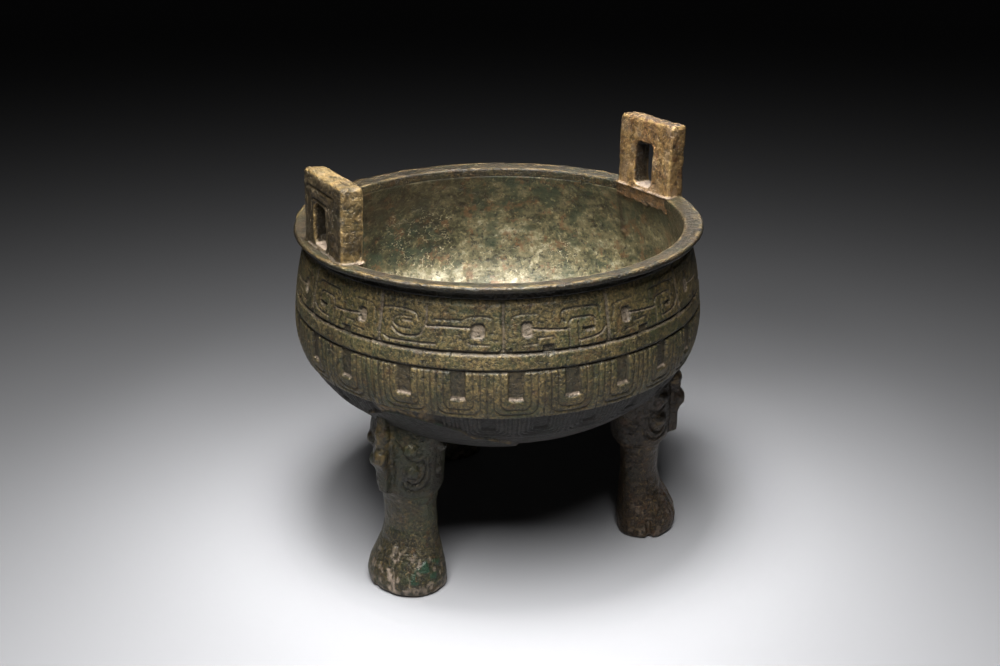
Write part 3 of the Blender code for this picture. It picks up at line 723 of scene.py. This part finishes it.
def insideRelief(turn, path, points):
    height = path[:, 1]
    lift = grit(points, 34.0, 3) * 0.5 + grit(points, 7.0, 3, 5.0) * 0.28
    away, foot = apart(turn, inside["streakTurn"]), inside["streakFoot"]
    beyond = np.maximum(0.0, np.maximum(foot - height, height - inside["streakTop"]))
    streak = sink(np.hypot(away, beyond) - inside["streakHalf"], 0.9)
    knob = sink(np.hypot(away, height - foot) - inside["knob"], 1.2)
    lift += inside["streakLift"] * streak + inside["knobLift"] * knob
    soot_and_shade = 0.8 * rise(height, 222.0, 270.0) * mix(0.4, 1.0, lumps(points, 18.0, 14.0))
    for at, high, low in inside["furrows"]:
        across = apart(turn, at) + grit(points, 15.0, 2) * 2.0
        reach = between(height, low, low + 14.0, high - 5.0, high)
        furrow = np.exp(-(across / inside["furrowHalf"]) ** 2) * reach
        lift -= inside["furrowDepth"] * furrow
        soot_and_shade = np.maximum(soot_and_shade, furrow * 0.7)
    # Painted light and shade: less dark on the wall that faces the light, painted shade over the far
    # turns.
    lit = np.cos(np.radians(turn - inside["brightTurn"]))
    soot_and_shade *= 1.0 - 0.75 * rise(lit, 0.5, 0.95)
    dim, dark, end = inside["farTurns"]
    soot_and_shade = np.maximum(soot_and_shade, 0.5 * rise(turn, dim, dark) * (turn < end))
    soot_and_shade = np.maximum(soot_and_shade, np.maximum(0.8 * streak, 0.6 * knob))
    pale = rise(228.0 - height, 0.0, 60.0) * (0.75 + 0.5 * lumps(points, 30.0, 3.0))
    pale *= mix(0.35, 1.0, rise(height, 135.0, 170.0))
    # Painted light: paler near the top on the wall that faces the light.
    pale = np.maximum(pale, 0.45 * rise(lit, 0.2, 1.0) * rise(290.0 - height, 0.0, 40.0))
    threads = np.zeros(len(turn))
    for at, high, low, wide in inside["threads"]:
        away = boxGap(apart(turn, at), height, -wide, wide, low, high, 8.0)
        threads = np.maximum(threads, sink(away + grit(points, 20.0, 2, 6.0) * 9.0, 6.0))
    lift = np.maximum(lift, -inside["deepest"]) * rise(inside["top"] - height, 0.0, 6.0)
    return lift, dict(pale=pale, threads=threads, grime=np.zeros(len(turn)), soot_and_shade=soot_and_shade)


def bowlInside():
    start = [(inside["radius"], inside["top"])]
    surface = evenly(np.concatenate([start, wallPath(289.0, 0.0, 1.8, bowl["wall"])]), 2.6)
    hidden = wallPath(289.0, 0.0, 9.0, bowl["skin"] - 0.2)[::-1]
    hidden = np.concatenate([hidden, [(164.6, 291.6)]])
    ringPiece("inside", surface[::-1], hidden[::-1], 390, insideRelief, innerSkin)


# Pieces that are fused from several shapes and then worked over.

def fused(name, shapes, voxel, smooth):
    gather = bmesh.new()
    for shape in shapes:
        bmesh.ops.recalc_face_normals(shape, faces=shape.faces)
        part = settle(shape, bpy.data.meshes.new("part"))
        gather.from_mesh(part)
        bpy.data.meshes.remove(part)
    whole = settle(gather, bpy.data.meshes.new(name + "_parts"))
    holder = bpy.data.objects.new(name + "_parts", whole)
    scene.collection.objects.link(holder)
    remesh = holder.modifiers.new("Fuse", "REMESH")
    remesh.mode = "VOXEL"
    remesh.voxel_size = voxel
    remesh.adaptivity = 0.0
    made = holder.evaluated_get(bpy.context.evaluated_depsgraph_get())
    made = bpy.data.meshes.new_from_object(made)
    bpy.data.objects.remove(holder)
    bpy.data.meshes.remove(whole)
    shape = bmesh.new()
    shape.from_mesh(made)
    for _ in range(smooth):
        bmesh.ops.smooth_vert(shape, verts=shape.verts, factor=0.5, use_axis_x=True, use_axis_y=True,
                              use_axis_z=True)
    made.name = name
    made.materials.clear()
    return settle(shape, made)


def prism(outline, vector):
    shape = bmesh.new()
    flat = shape.faces.new([shape.verts.new(point) for point in outline])
    grown = bmesh.ops.extrude_face_region(shape, geom=[flat])["geom"]
    far = [item for item in grown if isinstance(item, bmesh.types.BMVert)]
    bmesh.ops.translate(shape, verts=far, vec=vector)
    return shape


def bead(place, radius, stretch=(1.0, 1.0, 1.0)):
    shape = bmesh.new()
    matrix = Matrix.Translation(place) @ Matrix.Diagonal((*stretch, 1.0))
    bmesh.ops.create_icosphere(shape, subdivisions=3, radius=radius, matrix=matrix)
    return shape


leg = dict(
    radius=140.0,
    # height, reach inwards, reach outwards, half width
    sections=((0.0, 25.5, 23.4, 32.6), (1.6, 26.6, 27.0, 35.6), (4.0, 27.0, 28.4, 36.6),
              (12.0, 27.0, 28.6, 36.6), (17.0, 26.8, 27.4, 35.6), (22.3, 26.6, 24.8, 34.2),
              (31.6, 26.1, 20.0, 31.1), (42.8, 25.4, 13.8, 27.0), (55.8, 25.0, 10.2, 24.6),
              (70.0, 25.0, 10.0, 24.4), (82.0, 25.2, 10.2, 24.6), (84.5, 26.4, 11.6, 25.6),
              (88.0, 26.8, 12.0, 25.9), (89.6, 26.0, 11.0, 25.0), (91.2, 31.0, 15.0, 26.9),
              (96.0, 34.4, 18.4, 28.0), (115.0, 35.0, 19.0, 29.8), (131.0, 35.0, 19.0, 31.6),
              (148.6, 35.0, 19.0, 33.6), (172.0, 35.0, 14.0, 30.0)),
    flange=((7.0, 96.5), (22.0, 97.5), (26.0, 99.5), (26.6, 106.0), (26.2, 118.5), (28.0, 124.0),
            (31.5, 128.0), (32.0, 132.0), (30.2, 137.5), (27.6, 141.5), (28.2, 146.0), (27.6, 153.0),
            (26.0, 160.0), (24.4, 172.0), (7.0, 172.0)),
    thickness=9.2,
    level=1.6,            # height of one ring of the column
    corners=(0.6, 1.12, 0.86),        # how square it is inwards, outwards and aside
    sole=0.15,            # the soles stand this much clear of the floor
    seat=2.2,             # how far a leg's top reaches into the wall
)
# Beads on a mask: place out from the leg's axis, aside and up, then radius and stretch.
flangeBeads = (
    ((26.5, 0.0, 133.0), 6.8, (0.85, 0.95, 1.1)),
    ((22.5, 0.0, 152.0), 7.4, (0.9, 0.95, 1.1)),
)
sideBeads = (
    ((8.0, 19.0, 118.6), 8.2, (1.0, 1.0, 1.0)),       # eye
    ((13.2, 8.6, 122.0), 7.0, (0.8, 0.8, 4.0)),       # side of the snout
    ((-13.5, 25.6, 115.7), 6.0, (1.3, 1.0, 1.3)),     # cheek
)
brow = dict(start=(10.0, 19.5, 140.0), end=(-17.0, 31.5, 135.0), arch=6.0, radii=(7.4, 4.2), beads=9)
# Lines cut into a mask's side, in the same directions, then half width and depth.
maskLines = (
    ([(4.0, 28.1, 129.0), (1.0, 28.6, 124.0), (1.0, 28.3, 117.0), (3.0, 26.2, 110.0), (8.0, 22.0, 105.4),
      (11.4, 19.5, 106.6), (13.4, 17.6, 109.5)], 0.75, 2.1),
    ([(15.3, 13.9, 108.6), (15.8, 13.0, 106.0), (14.0, 16.4, 102.2), (9.0, 21.0, 99.8), (3.2, 25.6, 100.8),
      (-3.0, 28.0, 104.5)], 0.7, 1.68),
    ([(-2.1, 29.5, 124.0), (-4.6, 29.0, 115.0), (-3.0, 28.4, 108.0), (0.6, 26.8, 103.4)], 0.6, 1.26),
    ([(-11.0, 29.6, 124.0), (-8.4, 29.4, 116.0), (-11.0, 29.0, 109.0), (-17.0, 28.0, 106.4)], 0.6, 1.26),
    ([(16.6, 9.0, 148.0), (14.2, 17.0, 140.0), (13.6, 19.0, 132.0), (8.0, 24.8, 127.0),
      (1.0, 29.0, 131.0)], 0.65, 1.4),
)
maskRing = dict(path=[(6.6, 26.4, 138.5), (6.7, 26.4, 138.5)], radius=3.2, half=0.55, depth=0.9)
maskTicks = tuple(([(18.5, 4.4, height + 0.7), (15.7, 9.0, height - 0.5)], 0.5, 0.9)
                  for height in (141.6, 134.6, 126.2, 119.2, 112.2, 105.3, 99.4))
# Creases of a hoof: path, width and depth.
hoofCreases = (
    ([(13.1, 2.9, 44.0), (19.5, 5.2, 30.6), (25.0, 5.6, 16.0), (28.0, 5.3, 7.0)], 3.4, 2.0),
    ([(17.1, -9.5, 34.0), (23.7, -9.2, 20.4), (26.5, -12.0, 3.0)], 3.6, 2.2),
)
toeNotch = (([(3.0, -34.5, 17.0), (4.2, -36.0, 8.0), (5.0, -34.0, 0.0)], 5.0, 3.2),)
# Places and sizes of spots that are worn bare, and of malachite on the foot.
wornPlaces = (((8.0, 21.0, 118.6), 7.5), ((28.0, 0.0, 133.0), 10.0), ((25.0, 0.0, 152.0), 11.0))
stains = (((18.6, 23.1, 19.8), 5.0), ((8.2, 29.8, 25.7), 5.0), ((5.5, 33.3, 18.8), 3.0),
          ((-4.0, 33.0, 30.0), 4.0))


def legColumn():
    heights = np.arange(0.0, 172.1, leg["level"])
    table = np.array(leg["sections"])
    back, front, half = [np.interp(heights, table[:, 0], table[:, column]) for column in (1, 2, 3)]
    inner, outer, side = leg["corners"]
    shape = bmesh.new()
    bmesh.ops.create_cone(shape, cap_ends=True, cap_tris=False, segments=56, radius1=1.0, radius2=1.0,
                          depth=2.0)
    upright = [edge for edge in shape.edges if abs(edge.verts[0].co.z - edge.verts[1].co.z) > 1.0]
    bmesh.ops.subdivide_edges(shape, edges=upright, cuts=len(heights) - 2, use_grid_fill=True)
    for vertex in shape.verts:
        level = round((vertex.co.z + 1.0) / 2.0 * (len(heights) - 1))
        ahead, aside = vertex.co.x, vertex.co.y
        middle = min(half[level] - back[level], 0.5 * (front[level] - back[level]))
        reach = front[level] - middle if ahead > 0 else middle + back[level]
        power = outer if ahead > 0 else inner
        x = middle + math.copysign(abs(ahead) ** power, ahead) * reach
        y = math.copysign(abs(aside) ** side, aside) * half[level]
        vertex.co = (x, y, heights[level])
    return shape


def legShapes():
    side = leg["thickness"] / 2
    flange = prism([(x, -side, z) for x, z in leg["flange"]], (0.0, leg["thickness"], 0.0))
    shapes = [legColumn(), flange] + [bead(*spot) for spot in flangeBeads]
    for way in (-1, 1):
        for (x, y, z), radius, stretch in sideBeads:
            shapes.append(bead((x, y * way, z), radius, stretch))
        for share in np.linspace(0.0, 1.0, brow["beads"]):
            x, y, z = [mix(a, b, share) for a, b in zip(brow["start"], brow["end"])]
            z += brow["arch"] * math.sin(share * math.pi)
            shapes.append(bead((x, y * way, z), mix(*brow["radii"], share)))
    return shapes


# Distance to a line in space, measured along the surface.
def bentGap(points, normals, path):
    best = np.full(len(points), 1000.0)
    for start, end in zip(path, path[1:]):
        start, end = np.array(start), np.array(end)
        along = end - start
        share = np.clip((points - start) @ along / (along @ along), 0.0, 1.0)
        away = points - start - share[:, None] * along
        through = (away * normals).sum(axis=1)
        flat = np.sqrt(np.maximum((away ** 2).sum(axis=1) - through ** 2, 0.0))
        best = np.minimum(best, np.where(np.abs(through) < 6.0, flat, 1000.0))
    return best


# Moves and marks for one leg, in its own frame.
def legRelief(points, normals, crusted, notch):
    mirrored = points * (1, 0, 1) + np.abs(points) * (0, 1, 0)
    facing = normals * np.where(points[:, 1:2] < 0, (1, -1, 1), (1, 1, 1))
    height = points[:, 2]
    lift, soot_and_shade = np.zeros(len(points)), np.zeros(len(points))
    # Painted shade darkens the cut lines of the mask.
    for path, half, cut in maskLines:
        line = sink(bentGap(mirrored, facing, rounded(path)) - half)
        lift = np.minimum(lift, -cut * line)
        soot_and_shade = np.maximum(soot_and_shade, 0.8 * line)
    for path, half, cut in maskTicks:
        lift = np.minimum(lift, -cut * sink(bentGap(mirrored, facing, path) - half, 0.4))
    gap = np.abs(bentGap(mirrored, facing, maskRing["path"]) - maskRing["radius"])
    lift = np.minimum(lift, -maskRing["depth"] * sink(gap - maskRing["half"]))
    for path, width, cut in hoofCreases + notch:
        gap = bentGap(points, normals, rounded(path)) - width / 2
        lift = np.minimum(lift, -cut * sink(gap, 1.4))
    rough = 1.0 - rise(height, 60.0, 110.0) * 0.65
    lift = lift + (grit(points, 13.0, 3, 2.0) * 0.55 + grit(points, 4.0, 3, 6.0) * 0.22) * rough
    soot_and_shade = np.maximum(soot_and_shade, 0.55 * rise(height, 92.0, 96.0) * rise(lumps(points, 24.0, 8.0), 0.0, 0.5))

    hoof = rise(46.0 - height, 0.0, 20.0) * rise(points[:, 0], -30.0, 0.0)
    streaky = lumps(points * (1.6, 1.6, 0.6), 3.4, 3.0) * lumps(points, 5.5, 13.0)
    beside = rise(12.0 - bentGap(points, normals, rounded(hoofCreases[0][0])), 0.0, 7.0)
    crust = hoof * rise(streaky, 0.34 - 0.12 * beside, 0.46 - 0.08 * beside) * mix(0.45, 0.85, beside)
    foot = rise(13.0 - height, 0.0, 5.0) * rise(lumps(points, 4.0), 0.45, 0.70) * 0.65
    collar = 0.3 * rise(lumps(points, 5.0, 17.0), 0.6, 0.8) * between(height, 84.0, 86.0, 92.0, 96.0)
    grime = np.maximum(crusted * np.maximum(crust, foot), collar)
    wear_and_sheen = np.zeros(len(points))
    for place, size in wornPlaces:
        wear_and_sheen = np.maximum(wear_and_sheen, sink(np.linalg.norm(mirrored - np.array(place), axis=1) - size, 3.0))
    wear_and_sheen *= 0.4 * rise(lumps(points, 4.0, 19.0), 0.4, 0.7)
    return lift, dict(grime=grime, soot_and_shade=soot_and_shade * (1.0 - wear_and_sheen), wear_and_sheen=wear_and_sheen)


def legPiece(name, turn, material, crusted, malachite, notch=()):
    mesh = fused(name, legShapes(), 1.3, 1)
    local, normals = listed(mesh.vertices, "co"), listed(mesh.vertex_normals, "vector")
    lift, marks = legRelief(local, normals, crusted, notch)
    moss = np.zeros(len(local))
    for place, size in malachite:
        away = np.linalg.norm(local - np.array(place), axis=1) + grit(local, 5.0, 3, 11.0) * 4.0
        blob = sink(away - size, 1.6)
        moss = np.maximum(moss, blob)
        lift = lift + 0.8 * blob
    local = local + normals * lift[:, None]
    local[:, 2] = np.maximum(local[:, 2], leg["sole"])
    turned = math.radians(turn)
    out, aside = leg["radius"] + local[:, 0], local[:, 1]
    x = out * math.cos(turned) - aside * math.sin(turned)
    y = out * math.sin(turned) + aside * math.cos(turned)
    radius = np.hypot(x, y)
    under = np.where(radius < bowl["belly"], wallHeight(radius) + leg["seat"], 400.0)
    z = np.minimum(local[:, 2], under)
    marks["grime"] *= 1.0 - moss
    return finish(mesh, np.stack([x, y, z], axis=1), dict(marks, moss=moss), material)


def legs():
    back, front, right = legTurns
    legPiece("leg_front", front, legSkin, 1.0, stains)
    legPiece("leg_right", right, rightLegSkin, 0.5, (), toeNotch)
    legPiece("leg_back", back, legSkin, 0.7, stains[:1])


handles = (
    dict(name="handle_right", turn=0.0, inset=12.4, twist=2.9, lean=2.4, width=74.0, thickness=18.8,
         height=66.8, hole=25.0, shift=0.0, sill=3.5, bar=21.5, skin=rightHandleSkin),
    dict(name="handle_left", turn=181.6, inset=21.0, twist=-3.6, lean=-2.9, width=79.5, thickness=20.2,
         height=62.2, hole=26.5, shift=-4.0, sill=3.0, bar=24.0, skin=leftHandleSkin),
)
mouth = dict(radius=163.0, rimRadius=180.0, top=299.2, rootDepth=15.0)
loop = dict(
    root=5.0,             # how far a loop reaches down into the rim
    edge=4.0, holeEdge=6.5,
    frames=((4.5, 3.2), (15.0, 12.5)), frameHalf=0.8, frameDepth=1.2,     # beside and above the hole
    fillet=3.2, filletOut=1.4,
    ragged=(9.0, 14.0), raggedDrop=3.0,       # the lower edge of a root inside the mouth
)


def handlePlace(spec):
    place = Matrix.Rotation(math.radians(spec["turn"]), 4, "Z")
    place = place @ Matrix.Translation((mouth["rimRadius"] - spec["inset"], 0.0, mouth["top"]))
    place = place @ Matrix.Rotation(math.radians(spec["twist"]), 4, "Z")
    return place @ Matrix.Rotation(math.radians(spec["lean"]), 4, "Y")


def softened(shape, edges, offset):
    bmesh.ops.bevel(shape, geom=edges, offset=offset, offset_type="OFFSET", segments=4, profile=0.5,
                    affect="EDGES", clamp_overlap=True, material=-1)


def loopShape(spec):
    size = (spec["thickness"], spec["width"], spec["height"] + loop["root"])
    shape = bmesh.new()
    bmesh.ops.create_cube(shape, size=1.0)
    stand = Matrix.Translation((0.0, 0.0, size[2] / 2 - loop["root"]))
    shape.transform(stand @ Matrix.Diagonal((*size, 1.0)))
    outer = [edge for edge in shape.edges if edge.verts[0].co.z + edge.verts[1].co.z > 0.0]
    softened(shape, outer, loop["edge"])
    low, high = spec["sill"], spec["height"] - spec["bar"]
    rims = []
    for way in (-1, 1):
        face = max(shape.faces, key=lambda item: item.normal.x * way * item.calc_area())
        bmesh.ops.inset_region(shape, faces=[face], thickness=3.0)
        middle = face.calc_center_median()
        for vertex in face.verts:
            across = spec["shift"] + math.copysign(spec["hole"] / 2, vertex.co.y - middle.y)
            vertex.co.y, vertex.co.z = across, high if vertex.co.z > middle.z else low
        rims.append(face)
    loops = [edge for face in rims for edge in face.edges]
    bmesh.ops.delete(shape, geom=rims, context="FACES_ONLY")
    sides = bmesh.ops.bridge_loops(shape, edges=loops)["edges"]
    softened(shape, sides, loop["holeEdge"])
    return shape


def rootShape(spec):
    radius = mouth["radius"] + bowl["wall"] / 2
    twist = math.radians(spec["twist"])
    ahead = Vector((math.cos(twist), math.sin(twist)))
    aside = Vector((-ahead.y, ahead.x))
    middle = Vector((mouth["rimRadius"] - spec["inset"], 0.0))
    outline, bearings = [], []
    for side in (-0.5, 0.5):
        corner = middle - ahead * spec["thickness"] / 2 + aside * spec["width"] * side
        along = corner.dot(ahead)
        back = corner + ahead * (math.sqrt(along ** 2 - corner.length_squared + radius ** 2) - along)
        outline.insert(0, corner)
        bearings.append(math.atan2(back.y, back.x))
    for bearing in np.linspace(*bearings, 13):
        outline.append(Vector((radius * math.cos(bearing), radius * math.sin(bearing))))
    bottom = mouth["top"] - mouth["rootDepth"]
    shape = prism([(point.x, point.y, bottom) for point in outline], (0.0, 0.0, mouth["rootDepth"] + 1.0))
    shape.transform(Matrix.Rotation(math.radians(spec["turn"]), 4, "Z"))
    return shape


# Moves and marks for one handle, with places and normals in its own upright frame.
def handleRelief(spec, points, local, facing):
    out, aside, up = local.T
    half, top = spec["hole"] / 2, spec["height"] - spec["bar"]
    across = aside - spec["shift"]
    depth = np.zeros(len(points))
    for beside, above in loop["frames"]:
        side = half + beside - 0.9
        gap = np.abs(boxGap(across, up, -side, side, -40.0, top + above - 0.9, 2.5))
        depth = np.maximum(depth, loop["frameDepth"] * sink(gap - loop["frameHalf"]))
    depth = depth * rise(facing[:, 0], 0.5, 0.9) * (out > 0)
    fillet = np.where(up > -0.5, rise(loop["fillet"] - up, 0.0, loop["fillet"]), 0.0)
    fillet = fillet * (np.abs(facing[:, 2]) < 0.6)
    lift = grit(points, 18.0, 2, 3.0) * 0.7 + grit(points, 5.0, 3, 8.0) * 0.35
    lift = lift - depth + fillet ** 2 * loop["filletOut"]

    edge = rise(np.abs(facing).max(axis=1), 0.95, 0.80)
    faceOut = rise(facing[:, 0], 0.3, 0.8)
    wear_and_sheen = np.maximum(0.9 * edge, 0.45 * (1.0 - faceOut)) * rise(lumps(points, 6.0, 4.0), 0.2, 0.65)
    wear_and_sheen = wear_and_sheen * rise(up, -6.0, 2.0)
    holeFloor = rise(facing[:, 2], 0.6, 0.9) * sink(np.abs(up - spec["sill"]) - 1.5) * (up < 10)
    grime = np.maximum(holeFloor, 0.15 * rise(lumps(points, 8.0, 9.0), 0.6, 0.85))
    grime = np.maximum(grime, rise(fillet, 0.2, 0.8) * 0.8 * rise(lumps(points, 7.0, 2.0), 0.35, 0.6))
    # Painted shade on the walls of the hole; its floor keeps its deposit.
    hole = sink(boxGap(across, up, -half - 1.2, half + 1.2, spec["sill"] + 1.0, top + 1.2, 1.0), 0.6)
    hole = hole * rise(spec["thickness"] / 2 - np.abs(out), 0.4, 3.5)
    soot_and_shade = np.maximum(0.55 * faceOut * (1.0 - edge), 0.85 * hole * (1.0 - holeFloor))
    spots = rise(lumps(points, 15.0, 21.0), 0.45, 0.8) * (1.0 - edge) * (1.0 - wear_and_sheen)
    root = rise(-up, 0.5, 3.0) * rise(lumps(points, 12.0, 6.0), 0.1, 0.5)
    soot_and_shade = np.maximum(soot_and_shade, 0.5 * root)
    return lift, dict(wear_and_sheen=wear_and_sheen, grime=grime, soot_and_shade=np.maximum(soot_and_shade, 0.55 * spots))


def handlePiece(spec):
    place = handlePlace(spec)
    upright = loopShape(spec)
    upright.transform(place)
    mesh = fused(spec["name"], [upright, rootShape(spec)], 0.92, 2)
    points, normals = listed(mesh.vertices, "co"), listed(mesh.vertex_normals, "vector")
    back = np.array(place.inverted())
    turnBack = back[:3, :3]
    local = points @ turnBack.T + back[:3, 3]
    lift, marks = handleRelief(spec, points, local, normals @ turnBack.T)
    ragged = rise(-local[:, 2], *loop["ragged"]) * (local[:, 0] < 0)
    ragged = ragged * rise(lumps(points, 6.0, 9.0), 0.3, 0.7)
    points = points + np.array([0.0, 0.0, 1.0]) * ragged[:, None] * loop["raggedDrop"]
    return finish(mesh, points + normals * lift[:, None], marks, spec["skin"])


bowlRim()
bowlOutside()
bowlInside()
print("bowl made")
legs()
for spec in handles:
    handlePiece(spec)
print("legs and handles made")

# Camera, at the photograph's place: it looks down on the bowl between the front and the right leg.
camera = dict(turn=-31.0, back=1065.0, height=636.5, pitch=22.8, yaw=0.16, roll=0.42, lens=45.43,
              shift=-0.0012)
towardsCamera = Matrix.Rotation(math.radians(camera["turn"]), 4, "Z")


def makeCamera():
    eye = bpy.data.objects.new("camera", bpy.data.cameras.new("camera"))
    scene.collection.objects.link(eye)
    eye.data.sensor_width = 36.0
    eye.data.lens = camera["lens"]
    eye.data.shift_x = camera["shift"]
    eye.data.clip_end = 50.0
    yaw, pitch, roll = [math.radians(camera[key]) for key in ("yaw", "pitch", "roll")]
    look = Matrix.Rotation(-yaw, 4, "Z") @ Matrix.Rotation(math.radians(90.0) - pitch, 4, "X")
    look = look @ Matrix.Rotation(-roll, 4, "Z")
    stand = Matrix.Translation((0.0, -camera["back"] * mm, camera["height"] * mm))
    eye.matrix_world = towardsCamera @ stand @ look
    scene.camera = eye


def softbox(name, place, target, size, watts, spread=180.0):
    lamp = bpy.data.objects.new(name, bpy.data.lights.new(name, "AREA"))
    scene.collection.objects.link(lamp)
    lamp.data.shape = "SQUARE"
    lamp.data.size = size
    lamp.data.energy = watts
    lamp.data.spread = math.radians(spread)
    lamp.visible_camera = False
    aim = Vector(target) - Vector(place)
    stand = Matrix.Translation(place) @ aim.to_track_quat("-Z", "Y").to_matrix().to_4x4()
    lamp.matrix_world = towardsCamera @ stand
    return lamp


def studio():
    shape = bmesh.new()
    bmesh.ops.create_circle(shape, cap_ends=True, segments=96, radius=14.0)
    mesh = settle(shape, bpy.data.meshes.new("floor"))
    floor = bpy.data.objects.new("floor", mesh)
    scene.collection.objects.link(floor)
    paper = Finish("floor_paper")
    paper.dress({"Base Color": (0.315, 0.315, 0.325), "Roughness": 0.9, "Specular IOR Level": 0.1})
    mesh.materials.append(paper.material)
    softbox("key", (-0.05, -0.49, 0.87), (-0.05, -0.56, 0.0), 0.55, 18.0, 160.0)
    softbox("over", (-0.05, -0.10, 1.10), (0.0, 0.0, 0.2), 0.30, 1.8, 45.0)
    back = softbox("back", (0.40, 0.90, 0.95), (0.0, 0.0, 0.15), 0.60, 3.2)
    vesselOnly = bpy.data.collections.new("vessel_only")      # the lamp behind leaves the floor alone
    for thing in scene.objects:
        if thing.type == "MESH" and thing is not floor:
            vesselOnly.objects.link(thing)
    back.light_linking.receiver_collection = vesselOnly
    world = bpy.data.worlds.new("studio")
    world.use_nodes = True
    sky = world.node_tree.nodes["Background"].inputs
    sky["Color"].default_value = (1.0, 1.0, 1.0, 1.0)
    sky["Strength"].default_value = 0.004
    scene.world = world
    scene.view_settings.view_transform = "Standard"


makeCamera()
studio()
